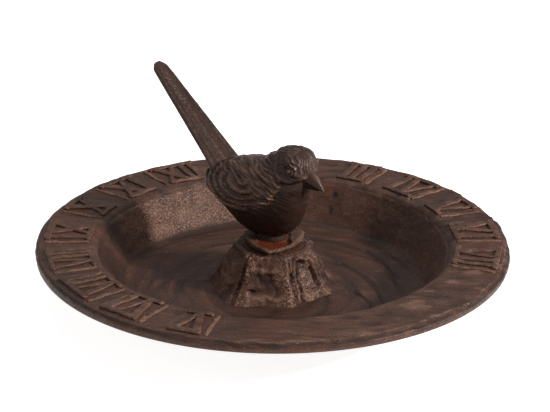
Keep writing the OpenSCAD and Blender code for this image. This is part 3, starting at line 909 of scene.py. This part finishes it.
def face_shape(p):
    """Height in millimetres and mark of the eye's ring, the brow and the cheek."""
    eye = (p - EYE).length
    above = ease(-1.5, 1.0, (p - EYE).y + 0.3 * (p.x - EYE.x))
    height = ripple(eye, EYE_FORM) + above * ripple(eye, BROW_FORM)
    mark = ripple(eye, EYE_WEAR) + above * ripple(eye, BROW_WEAR)
    hook = (p - Vector((16.6, 46.2))).length
    height += ease(19, 15, p.x) * (0.2 * bump_at(hook, 4.4, 0.55) - 0.4 * bump_at(hook, 5.2, 0.4))
    mark -= ease(19, 15, p.x) * 0.35 * bump_at(hook, 5.2, 0.45)
    edge = edge_distance(p, CHEEK_EDGE)
    reach = ease(9.5, 14, p.x) * ease(31, 27, p.x)
    height += reach * (0.5 * bump_at(edge, 1.1, 1.0) - 1.1 * bump_at(edge, -1.6, 1.6))
    mark += reach * (0.25 * bump_at(edge, 1.0, 0.9) - 0.6 * bump_at(edge, -1.8, 1.7))
    return height, mark


def bird_relief(p, side):
    """How far the skin stands out at a side-view point, in metres, and how rubbed it is, darker below the
    wing with dark paint and painted shade.
    """
    wide = ease(0.22, 0.5, abs(side))
    on_wing, feather, wing_mark = wing_shape(p)
    on_wing *= wide
    face, face_mark = face_shape(p)
    eye = (p - EYE).length
    head = ease(-2, 8, p.x + 0.5 * (p.y - 47))
    slope = (1, -0.42 - 0.5 * ease(50, 57, p.y)) if p.x > 6 else (1, -0.3)
    plume = strands(p + Vector((0, 3 * side)), slope, 1.5, 7.7)
    scale = swell((p.x, p.y, 9 * side), 2.2, 3.2, 2)
    skull = (p - SKULL).length + 1.3 * swell((p.x, p.y, 0), 8, 6.4, 2)
    arcs = math.sin(2 * math.pi * skull / 2.1) * (0.12 + 0.8 * abs(swell((p.x, p.y, 0), 4, 2.7, 2)))
    plume += (arcs - plume) * ease(6.5, 8.5, skull) * ease(4, 10, p.x) * ease(48, 52, p.y)
    parting = 11 * side + 1.2 * swell((p.x, p.y, 11 * side), 6, 3.8, 2)
    combed = 0.4 * swell((p.x / 3, p.y / 3, 11 * side), 1.6, 5.7, 2)
    combed += 0.4 * math.sin(2 * math.pi * parting / 2.1)
    plume += (combed - plume) * ease(0.92, 0.7, abs(side)) * ease(8, 14, p.x) * ease(45, 49, p.y)
    wing = edge_distance(p, WING_EDGE)
    smooth = max(bump_at(eye, 0, 2.9), 0.8 * ease(-0.5, -3.0, wing) * ease(48, 40, p.y))
    smooth = max(smooth, 0.85 * bump_at((p - CHEEK).length, 0, 2.5))
    body = (0.85 * plume + 0.14 * scale) * (1 - smooth)
    fold = bump_at((p - BREAST_FOLD).length, 0, 2.6)
    crop = math.sin(p.y * 1.1 - p.x * 0.3) * ease(16, 22, p.x) * ease(24, 28, p.y) * ease(42, 38, p.y)
    h = body + wide * (face + 0.5 * fold) + 0.12 * crop
    h += on_wing * (0.5 + feather * sizes().feather_relief / MM)
    plain = 0.48 + 1.1 * (plume + 0.3 * scale) * (1 - smooth) - 0.36 * head
    mark = plain + (wing_mark - plain) * on_wing + wide * face_mark + 0.3 * fold * wide
    # Below the wing the belly is painted darker: partly darker paint, partly painted shade where it faces
    # down
    dark = ease(-0.3, -2.5, wing) * ease(45, 38, p.y) * (1 - 0.7 * fold)
    return h * MM, clamp(mark - 0.62 * dark)


class BIRDBATH_OT_bird(bpy.types.Operator):
    """Models the bird's body, beak and eyes"""
    bl_idname = "birdbath.bird"
    bl_label = "Bird"

    def execute(self, context):
        s = sizes()
        rings, number = 246, 384
        bm, relief = new_skin("relief")
        tail_end = ring = ring_of(bm, number)
        for row in range(rings + 1):
            if row:
                ring = grow_ring(bm, ring)
            x_top, z_top, x_low, z_low, half = through(BIRD_SECTIONS, row / rings)
            top = Vector((x_top * s.bird_length, 0, z_top * s.bird_height))
            low = Vector((x_low * s.bird_length, 0, z_low * s.bird_height))
            up = (top - low).normalized()
            for vert, turn in zip(ring, turns(number)):
                side, rise = math.cos(turn), math.sin(turn)
                skin = (top + low) / 2 + (top - low) / 2 * rise
                grow, mark = bird_relief(Vector((skin.x, skin.z)) / MM, side)
                place = skin + up * grow * rise
                place.y = (half * s.bird_width + grow) * side
                vert.co = place
                vert[relief] = mark
        cap_ring(bm, tail_end)
        cap_ring(bm, ring)
        bmesh.ops.transform(bm, matrix=bird_frame(), verts=bm.verts)
        add_piece("bird_body", bm, "turning_bird", ("bird",), glossy_iron("bird_iron"))
        self.beak()
        self.eyes()
        self.foot()
        return {"FINISHED"}

    def beak(self):
        s = sizes()
        bm, relief = new_skin("relief")
        root = Vector((0.255 * s.bird_length, 0, 0.732 * s.bird_height))
        for upper in (1, -1):
            number, rows = 44, 34
            first = ring = ring_of(bm, number)
            reach = (18.1 if upper > 0 else 15.4) * MM
            for row in range(rows + 1):
                if row:
                    ring = grow_ring(bm, ring)
                t = row / rows
                tall = (5.4 if upper > 0 else 3.8) * MM * (1 - t ** 1.9) ** 0.9 + 0.45 * MM
                wide = 5.2 * MM * (1 - t ** 1.6) + 0.5 * MM
                sag = (-1.4 * t ** 3 if upper > 0 else -0.3 * t) * MM
                for vert, turn in zip(ring, turns(number)):
                    rise = math.sin(turn)
                    outward = max(0, rise * upper)
                    z = tall * rise * (1 + 0.14 * outward ** 6 if outward else 0.22)
                    vert.co = (t * reach, wide * math.cos(turn), z + upper * 0.75 * MM + sag)
                    vert[relief] = 0.15 + 0.6 * outward ** 8 if upper > 0 else 0.1
            cap_ring(bm, first)
            cap_ring(bm, ring)
        droop = Matrix.Rotation(math.radians(20), 4, "Y")
        bmesh.ops.transform(bm, matrix=bird_frame() @ Matrix.Translation(root) @ droop, verts=bm.verts)
        iron = glossy_iron("beak_iron", wear=0.35)
        add_piece("bird_beak", bm, "turning_bird", ("bird",), iron)

    def eyes(self):
        s = sizes()
        bm, relief = new_skin("relief")
        for side in (1, -1):
            made = bmesh.ops.create_uvsphere(bm, u_segments=32, v_segments=20, radius=1.6 * MM)["verts"]
            at = Vector((EYE.x * MM, side * 0.318 * s.bird_width, EYE.y * MM))
            bmesh.ops.translate(bm, verts=made, vec=at)
        for vert in bm.verts:
            vert[relief] = 0.6
        bmesh.ops.transform(bm, matrix=bird_frame(), verts=bm.verts)
        add_piece("bird_eyes", bm, "turning_bird", ("bird",), glossy_iron("eye_iron"))

    def foot(self):
        bm, relief = new_skin("relief")
        number = 96
        profile = ((8.4, 0.0), (8.6, 0.2), (8.5, 0.7), (8.0, 1.2), (7.4, 2.4), (7.0, 5.0))
        first = ring = ring_of(bm, number)
        for row, (r, z) in enumerate(profile):
            if row:
                ring = grow_ring(bm, ring)
            for vert, turn in zip(ring, turns(number)):
                uneven = 0.35 * swell(on_circle(turn, 9, z), 4, 5.1, 2) if row else 0
                vert.co = on_circle(turn, (r + uneven) * MM, z * MM)
                vert[relief] = 0.0
        cap_ring(bm, first)
        cap_ring(bm, ring)
        bmesh.ops.transform(bm, matrix=bird_frame(), verts=bm.verts)
        matt = iron_material("foot_iron", "bird_iron", wear=0, smoothest=0.7)
        add_piece("bird_foot", bm, "turning_bird", ("bird",), matt)


# Tail gnomon


def tail_frame():
    """Matrix from the tail's own frame, running along +X with its shown face to +Z."""
    s = sizes()
    root = Matrix.Translation((-0.45 * s.bird_length, 0, 0.61 * s.bird_height))
    slope = Matrix.Rotation(math.pi + s.tail_slope, 4, "Y")
    return bird_frame() @ root @ slope @ Matrix.Rotation(math.pi, 4, "X")


class BIRDBATH_OT_tail(bpy.types.Operator):
    """Models the cocked tail that casts the hour shadow"""
    bl_idname = "birdbath.tail"
    bl_label = "Tail gnomon"

    def execute(self, context):
        s = sizes()
        rows, half_count = 150, 44
        root_w, tip_w, thick = 26 * MM, 11 * MM, 3.2 * MM
        bm, relief = new_skin("relief")
        first = ring = ring_of(bm, 2 * half_count)
        start = -2.5 * MM
        for row in range(rows + 1):
            if row:
                ring = grow_ring(bm, ring)
            x = start + (s.tail_length - start) * row / rows
            share = max(0, x / s.tail_length)
            half = (root_w + (tip_w - root_w) * share) / 2
            half *= 1 - 0.62 * clamp((share - 0.945) / 0.055) ** 1.6
            for k, vert in enumerate(ring):
                upper = k < half_count
                across = 1 - 2 * (k % half_count + 0.5) / half_count
                across = across if upper else -across
                crown, mark = self.feathers(x, across, half, upper)
                lens = (1 - abs(across) ** 7) ** 0.5 * (1 - 0.3 * ease(0.85, 1.0, share))
                z = (thick / 2 * lens + crown * lens) * (1 if upper else -1)
                vert.co = (x, across * half, z)
                vert[relief] = mark
        cap_ring(bm, first)
        cap_ring(bm, ring)
        bmesh.ops.transform(bm, matrix=tail_frame(), verts=bm.verts)
        iron = glossy_iron("tail_iron", wear=0.5)
        add_piece("tail_casting", bm, "turning_bird", ("tail_gnomon",), iron)
        return {"FINISHED"}

    def feathers(self, x, across, half, upper):
        """Relief of the tail's three feather bands, its shaft and its barbs."""
        band = abs(across) * 3
        edge = bump_at(band, 1.75, 0.16)
        y = across * half
        shaft = bump_at(y, 0, 0.9 * MM) * ease(1.0, 0.85, x / sizes().tail_length)
        slant = (x - abs(y) * 1.3) / (2.3 * MM)
        barbs = math.sin(2 * math.pi * slant + 1.5 * swell((x, y, 0), 4 * MM, 2.8, 2))
        barbs *= ease(1.75, 1.4, band)
        lengthwise = swell((x / 9, y, 0), 1.6 * MM, 8.1, 2) * ease(1.4, 1.9, band)
        rough = swell((x, y, 0), 1.8 * MM, 6.2, 2)
        h = 0.5 * shaft - 0.6 * edge + (0.26 * barbs + 0.2 * rough) * (1 - shaft) + 0.2 * lengthwise
        mark = 0.26 + 0.25 * shaft - 0.4 * edge + 0.3 * barbs + 0.35 * rough + 0.3 * lengthwise
        return h * MM * (1 if upper else 0.7), clamp(mark)


# Fixing


class BIRDBATH_OT_bolt(bpy.types.Operator):
    """Turns the pivot bolt and dresses the washer and the seal"""
    bl_idname = "birdbath.bolt"
    bl_label = "Pivot bolt"

    def execute(self, context):
        steel = metal_material("bolt_steel")
        bm = bmesh.new()
        head_h = 4 * MM
        flats = BOLT_HIGH.y - BOLT_LOW.y
        corner = max(flats, BOLT_HIGH.x - BOLT_LOW.x) / 2
        head = bmesh.ops.create_cone(
            bm, cap_ends=True, segments=6, radius1=corner, radius2=corner, depth=head_h,
            matrix=Matrix.Translation((0, 0, BOLT_LOW.z + head_h / 2)),
        )["verts"]
        if flats < BOLT_HIGH.x - BOLT_LOW.x:
            bmesh.ops.rotate(bm, verts=head, cent=(0, 0, 0), matrix=Matrix.Rotation(math.pi / 6, 3, "Z"))
        bmesh.ops.bevel(
            bm, geom=bm.edges[:], offset=0.35 * MM, affect="EDGES", segments=3, profile=0.5, material=-1
        )
        bm_shank = bmesh.new()
        foot_z = BOLT_LOW.z + head_h / 2
        reach = BOLT_HIGH.z - foot_z
        thread_from = reach - 10 * MM
        rows = []
        z = 0.0
        while z < reach - 0.8 * MM:
            groove = 0.0 if z < thread_from else 0.28 * MM * (len(rows) % 2)
            rows.append((BOLT_R - groove, z))
            z += 0.5 * MM if z > thread_from else 2 * MM
        rows.append((BOLT_R - 0.6 * MM, reach))
        first = ring = ring_of(bm_shank, 48)
        for row, (r, up) in enumerate(rows):
            if row:
                ring = grow_ring(bm_shank, ring)
            for vert, turn in zip(ring, turns(len(ring))):
                vert.co = on_circle(turn, r, foot_z + up)
        cap_ring(bm_shank, first)
        cap_ring(bm_shank, ring)
        add_piece("bolt_head", bm, "turning_bird", ("pivot_bolt",), steel)
        add_piece("bolt_shank", bm_shank, "turning_bird", ("pivot_bolt",), steel)
        for node, material in (("washer", steel), ("rubber_seal", rubber_material())):
            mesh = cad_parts[node].data
            mesh.materials.clear()
            mesh.materials.append(material)
        return {"FINISHED"}


# Materials


def link(tree, a, b):
    tree.links.new(a, b)


def add_node(tree, kind, **values):
    node = tree.nodes.new(kind)
    for name, value in values.items():
        setattr(node, name, value)
    return node


def noise_node(tree, vector, scale, detail=4.0, rough=0.55):
    node = add_node(tree, "ShaderNodeTexNoise")
    node.inputs["Scale"].default_value = scale
    node.inputs["Detail"].default_value = detail
    node.inputs["Roughness"].default_value = rough
    link(tree, vector, node.inputs["Vector"])
    return node.outputs["Fac"]


def ramp(tree, value, low, high, flip=False):
    """Maps a value so that low gives 0 and high gives 1."""
    node = add_node(tree, "ShaderNodeMapRange", interpolation_type="SMOOTHSTEP")
    node.inputs["From Min"].default_value = low
    node.inputs["From Max"].default_value = high
    node.inputs["To Min"].default_value = 1.0 if flip else 0.0
    node.inputs["To Max"].default_value = 0.0 if flip else 1.0
    link(tree, value, node.inputs["Value"])
    return node.outputs["Result"]


def blend(tree, share, a, b):
    """Mixes two colours, each a socket or a colour."""
    node = add_node(tree, "ShaderNodeMix", data_type="RGBA")
    for socket, value in ((node.inputs[0], share), (node.inputs[6], a), (node.inputs[7], b)):
        if isinstance(value, bpy.types.NodeSocket):
            link(tree, value, socket)
        else:
            socket.default_value = value if isinstance(value, float) else (*value, 1)
    return node.outputs[2]


def maths(tree, operation, a, b):
    node = add_node(tree, "ShaderNodeMath", operation=operation)
    for socket, value in zip(node.inputs, (a, b)):
        if isinstance(value, bpy.types.NodeSocket):
            link(tree, value, socket)
        else:
            socket.default_value = value
    return node.outputs[0]


def times(tree, a, b):
    return maths(tree, "MULTIPLY", a, b)


def plus(tree, a, b):
    return maths(tree, "ADD", a, b)


def object_place(tree):
    return add_node(tree, "ShaderNodeTexCoord").outputs["Object"]


def attribute(tree, name):
    return add_node(tree, "ShaderNodeAttribute", attribute_name=name).outputs["Fac"]


def cast_skin_group():
    """Node group of the cast skin: colour with painted glints, roughness and height from place and relief.
    """
    name = "CastSkin"
    if name in bpy.data.node_groups:
        return bpy.data.node_groups[name]
    tree = bpy.data.node_groups.new(name, "ShaderNodeTree")
    for kind, side, labels in (
        ("Vector", "INPUT", ("Vector",)),
        ("Color", "INPUT", ("Ground", "Rubbed", "Hollow", "Rust")),
        ("Float", "INPUT", ("Relief", "Grain", "Wear", "GritAndGlints", "Smoothest")),
        ("Color", "OUTPUT", ("Color",)),
        ("Float", "OUTPUT", ("Roughness", "Height")),
    ):
        for label in labels:
            tree.interface.new_socket(label, in_out=side, socket_type="NodeSocket" + kind)
    inputs = add_node(tree, "NodeGroupInput").outputs
    result = add_node(tree, "NodeGroupOutput").inputs
    place = inputs["Vector"]
    mottle = noise_node(tree, place, 55, 5)
    patches = noise_node(tree, place, 19, 3)
    grain = noise_node(tree, place, 900, 3, 0.65)
    sand = noise_node(tree, place, 1900, 2, 0.6)
    streaks = add_node(tree, "ShaderNodeMapping")
    streaks.inputs["Rotation"].default_value = (0, 0, -PHOTO_TURN)
    link(tree, place, streaks.inputs["Vector"])
    drawn = add_node(tree, "ShaderNodeMapping")
    drawn.inputs["Scale"].default_value = (0.14, 1, 1)
    link(tree, streaks.outputs["Vector"], drawn.inputs["Vector"])
    strokes = noise_node(tree, drawn.outputs["Vector"], 420, 4, 0.6)
    ground = blend(tree, ramp(tree, patches, 0.35, 0.7), inputs["Ground"], inputs["Hollow"])
    ground = blend(tree, 0.55, inputs["Ground"], ground)
    rusty = times(tree, ramp(tree, mottle, 0.45, 0.8), 0.16)
    ground = blend(tree, rusty, ground, inputs["Rust"])
    raised = ramp(tree, inputs["Relief"], 0.5, 0.95)
    low = ramp(tree, inputs["Relief"], 0.1, 0.48, flip=True)
    rub = plus(tree, raised, times(tree, ramp(tree, grain, 0.5, 0.72), 0.55))
    rub = plus(tree, rub, times(tree, ramp(tree, strokes, 0.5, 0.75), 0.4))
    rub = times(tree, rub, inputs["Wear"])
    colour = blend(tree, rub, ground, inputs["Rubbed"])
    colour = blend(tree, times(tree, low, 0.75), colour, inputs["Hollow"])
    dust = times(tree, ramp(tree, sand, 0.3, 0.5, flip=True), 0.35)
    colour = blend(tree, dust, colour, inputs["Hollow"])
    # Painted glints: bright specks of the rubbed and ground colours added together, where the grain share is
    # high; they also raise the bump
    glint_flakes = ramp(tree, noise_node(tree, place, 1000, 2, 0.65), 0.5, 0.59)
    glint_flakes = times(tree, glint_flakes, inputs["GritAndGlints"])
    grit_glint_share = ramp(tree, inputs["GritAndGlints"], 0.0, 1.0)
    colour = blend(tree, times(tree, grit_glint_share, 0.35), colour, inputs["Hollow"])
    glint_colour = add_node(tree, "ShaderNodeMix", data_type="RGBA", blend_type="ADD", clamp_result=True)
    glint_colour.inputs[0].default_value = 1.0
    link(tree, inputs["Rubbed"], glint_colour.inputs[6])
    link(tree, inputs["Ground"], glint_colour.inputs[7])
    colour = blend(tree, glint_flakes, colour, glint_colour.outputs[2])
    link(tree, colour, result["Color"])
    sheen = times(tree, ramp(tree, grain, 0.35, 0.7, flip=True), 0.22)
    link(tree, plus(tree, sheen, inputs["Smoothest"]), result["Roughness"])
    height = times(tree, grain, inputs["Grain"])
    for layer, share in ((sand, 0.35), (strokes, 0.55), (mottle, 1.5), (glint_flakes, 0.9)):
        height = plus(tree, height, times(tree, layer, share))
    link(tree, height, result["Height"])
    return tree


def new_material(name):
    material = bpy.data.materials.new(name)
    material.use_nodes = True
    tree = material.node_tree
    return material, tree, tree.nodes["Principled BSDF"]


def iron_material(name, ground, wear=0.8, grain=1.0, bump=0.35, smoothest=0.42):
    """Antique-painted cast iron with rubbed ridges and dark hollows."""
    material, tree, shader = new_material(name)
    skin = add_node(tree, "ShaderNodeGroup", node_tree=cast_skin_group())
    link(tree, object_place(tree), skin.inputs["Vector"])
    link(tree, attribute(tree, "relief"), skin.inputs["Relief"])
    link(tree, attribute(tree, "grit_and_glints"), skin.inputs["GritAndGlints"])
    for label, colour in (("Ground", ground), ("Rubbed", "rubbed"), ("Hollow", "hollow"), ("Rust", "rust")):
        skin.inputs[label].default_value = (*getattr(colours(), colour), 1)
    for label, value in (("Grain", grain), ("Wear", wear), ("Smoothest", smoothest)):
        skin.inputs[label].default_value = value
    lumps = add_node(tree, "ShaderNodeBump")
    lumps.inputs["Strength"].default_value = bump
    lumps.inputs["Distance"].default_value = 0.6 * MM
    link(tree, skin.outputs["Height"], lumps.inputs["Height"])
    link(tree, lumps.outputs["Normal"], shader.inputs["Normal"])
    link(tree, skin.outputs["Color"], shader.inputs["Base Color"])
    link(tree, skin.outputs["Roughness"], shader.inputs["Roughness"])
    shader.inputs["Metallic"].default_value = 0.1
    shader.inputs["Specular IOR Level"].default_value = 0.33
    return material


def glossy_iron(name, wear=0.8):
    """The bird's darker paint, with more gloss than the dish's."""
    return iron_material(name, "bird_iron", wear=wear, grain=0.6, bump=0.25, smoothest=0.33)


def stone_material():
    """Broken stone with a grainy pale edge, with painted glints, round a rusty hollow."""
    material = iron_material("rusty_stone", "iron", wear=0.9, grain=1.4, bump=0.5)
    tree = material.node_tree
    shader = tree.nodes["Principled BSDF"]
    relief = attribute(tree, "relief")
    skin = shader.inputs["Base Color"].links[0].from_socket
    hollow = ramp(tree, relief, 0.2, 0.4, flip=True)
    stains = ramp(tree, noise_node(tree, object_place(tree), 160, 4), 0.4, 0.65)
    orange = blend(tree, stains, colours().rust, colours().hollow)
    orange = blend(tree, 0.65, orange, colours().rust)
    link(tree, blend(tree, hollow, skin, orange), shader.inputs["Base Color"])
    return material


def metal_material(name):
    """Zinc-plated steel with a fine mottle."""
    material, tree, shader = new_material(name)
    mottle = noise_node(tree, object_place(tree), 600, 3)
    pale = tuple(min(1, 1.25 * c) for c in colours().steel)
    link(tree, blend(tree, mottle, colours().steel, pale), shader.inputs["Base Color"])
    link(tree, plus(tree, times(tree, mottle, 0.25), 0.25), shader.inputs["Roughness"])
    shader.inputs["Metallic"].default_value = 1.0
    return material


def rubber_material():
    """Matt black rubber with a fine bloom."""
    material, tree, shader = new_material("seal_rubber")
    bloom = noise_node(tree, object_place(tree), 900, 3)
    pale = tuple(1.8 * c for c in colours().rubber)
    link(tree, blend(tree, bloom, colours().rubber, pale), shader.inputs["Base Color"])
    link(tree, plus(tree, times(tree, bloom, 0.2), 0.65), shader.inputs["Roughness"])
    return material


# Studio


def white_for_camera(tree, socket, strength):
    """Adds plain white for the camera, glossy and clear rays on top of a lit surface."""
    path = add_node(tree, "ShaderNodeLightPath").outputs
    seen = maths(tree, "MAXIMUM", path["Is Camera Ray"], path["Is Glossy Ray"])
    seen = maths(tree, "MAXIMUM", seen, path["Is Transmission Ray"])
    link(tree, times(tree, seen, strength), socket)


def area_light(name, place, target, size, power):
    data = bpy.data.lights.new(name, "AREA")
    data.shape = "DISK"
    data.size = size
    data.energy = power
    lamp = bpy.data.objects.new(name, data)
    lamp.location = place
    lamp.rotation_euler = (Vector(target) - Vector(place)).to_track_quat("-Z", "Y").to_euler()
    bpy.context.scene.collection.objects.link(lamp)


def from_photo(right, away, up):
    """A place given in the photograph's directions, in metres."""
    c, s = math.cos(PHOTO_TURN), math.sin(PHOTO_TURN)
    return Vector((right * c - away * s, right * s + away * c, up))


class BIRDBATH_OT_stage(bpy.types.Operator):
    """Sets up the white floor, the soft lights and the camera"""
    bl_idname = "birdbath.stage"
    bl_label = "Studio"

    def execute(self, context):
        scene = context.scene
        scene.view_settings.view_transform = "Standard"
        bm = bmesh.new()
        bmesh.ops.create_grid(bm, x_segments=2, y_segments=2, size=6)
        mesh = bpy.data.meshes.new("floor")
        bm.to_mesh(mesh)
        bm.free()
        floor = bpy.data.objects.new("floor", mesh)
        scene.collection.objects.link(floor)
        material, tree, shader = new_material("white_floor")
        shader.inputs["Base Color"].default_value = (0.85, 0.85, 0.85, 1)
        shader.inputs["Roughness"].default_value = 0.9
        shader.inputs["Emission Color"].default_value = (1, 1, 1, 1)
        white_for_camera(tree, shader.inputs["Emission Strength"], 0.9)
        mesh.materials.append(material)
        world = bpy.data.worlds.new("soft_room")
        scene.world = world
        world.use_nodes = True
        sky = world.node_tree.nodes["Background"]
        sky.inputs["Color"].default_value = (1, 1, 1, 1)
        tree = world.node_tree
        path = add_node(tree, "ShaderNodeLightPath").outputs
        mirrored = times(tree, path["Is Glossy Ray"], 0.35)
        seen = times(tree, maths(tree, "MAXIMUM", path["Is Camera Ray"], mirrored), 0.9)
        link(tree, plus(tree, seen, 0.1), sky.inputs["Strength"])
        centre = (0, 0, 40 * MM)
        area_light("key_light", from_photo(0.96, -0.42, 0.56), centre, 0.13, 14.5)
        area_light("top_light", from_photo(-0.1, 0.3, 1.3), centre, 0.8, 4.6)
        area_light("fill_light", from_photo(-1.1, -0.9, 0.8), centre, 0.9, 2.2)
        self.camera(scene)
        return {"FINISHED"}

    def camera(self, scene):
        """Stands the camera where the photograph was taken from."""
        elevation, distance = math.radians(23.45), 1.5
        pan, tilt, roll = math.radians(0.04), math.radians(0.80), math.radians(0.53)
        data = bpy.data.cameras.new("camera")
        data.sensor_width = SENSOR_WIDTH
        data.lens = FOCAL_PIXELS / PHOTO_WIDTH_PIXELS * SENSOR_WIDTH
        data.clip_end = 50
        camera = bpy.data.objects.new("camera", data)
        scene.collection.objects.link(camera)
        place = from_photo(0, -distance * math.cos(elevation), distance * math.sin(elevation))
        ahead = -place.normalized()
        right = from_photo(1, 0, 0)
        up = right.cross(ahead)
        ahead = (ahead + right * math.tan(pan) + up * math.tan(tilt)).normalized()
        right = ahead.cross(Vector((0, 0, 1))).normalized()
        up = right.cross(ahead)
        turned_right = right * math.cos(roll) + up * math.sin(roll)
        turned_up = up * math.cos(roll) - right * math.sin(roll)
        pose = Matrix((turned_right, turned_up, -ahead)).transposed().to_4x4()
        pose.translation = place + Vector((0, 0, RIM_Z))
        camera.matrix_world = pose
        scene.camera = camera


OPERATORS = (
    BIRDBATH_OT_dish,
    BIRDBATH_OT_hours,
    BIRDBATH_OT_rock,
    BIRDBATH_OT_stone,
    BIRDBATH_OT_bird,
    BIRDBATH_OT_tail,
    BIRDBATH_OT_bolt,
    BIRDBATH_OT_stage,
)


class BIRDBATH_PT_panel(bpy.types.Panel):
    """Sizes, colours and build steps of the birdbath"""
    bl_label = "Sundial birdbath"
    bl_idname = "BIRDBATH_PT_panel"
    bl_space_type = "VIEW_3D"
    bl_region_type = "UI"
    bl_category = "Birdbath"

    def draw(self, context):
        for group in (context.scene.birdbath_sizes, context.scene.birdbath_colours):
            for name in group.bl_rna.properties.keys():
                if name not in ("rna_type", "name"):
                    self.layout.prop(group, name)
        for operator in OPERATORS:
            self.layout.operator(operator.bl_idname)


CLASSES = (BirdbathSizes, BirdbathColours) + OPERATORS + (BIRDBATH_PT_panel,)


def register():
    for cls in CLASSES:
        bpy.utils.register_class(cls)
    bpy.types.Scene.birdbath_sizes = PointerProperty(type=BirdbathSizes)
    bpy.types.Scene.birdbath_colours = PointerProperty(type=BirdbathColours)


def unregister():
    del bpy.types.Scene.birdbath_colours
    del bpy.types.Scene.birdbath_sizes
    for cls in reversed(CLASSES):
        bpy.utils.unregister_class(cls)


def main():
    register()
    for operator in OPERATORS:
        step = operator.bl_idname.split(".")[1]
        getattr(bpy.ops.birdbath, step)()


if __name__ == "__main__":
    main()
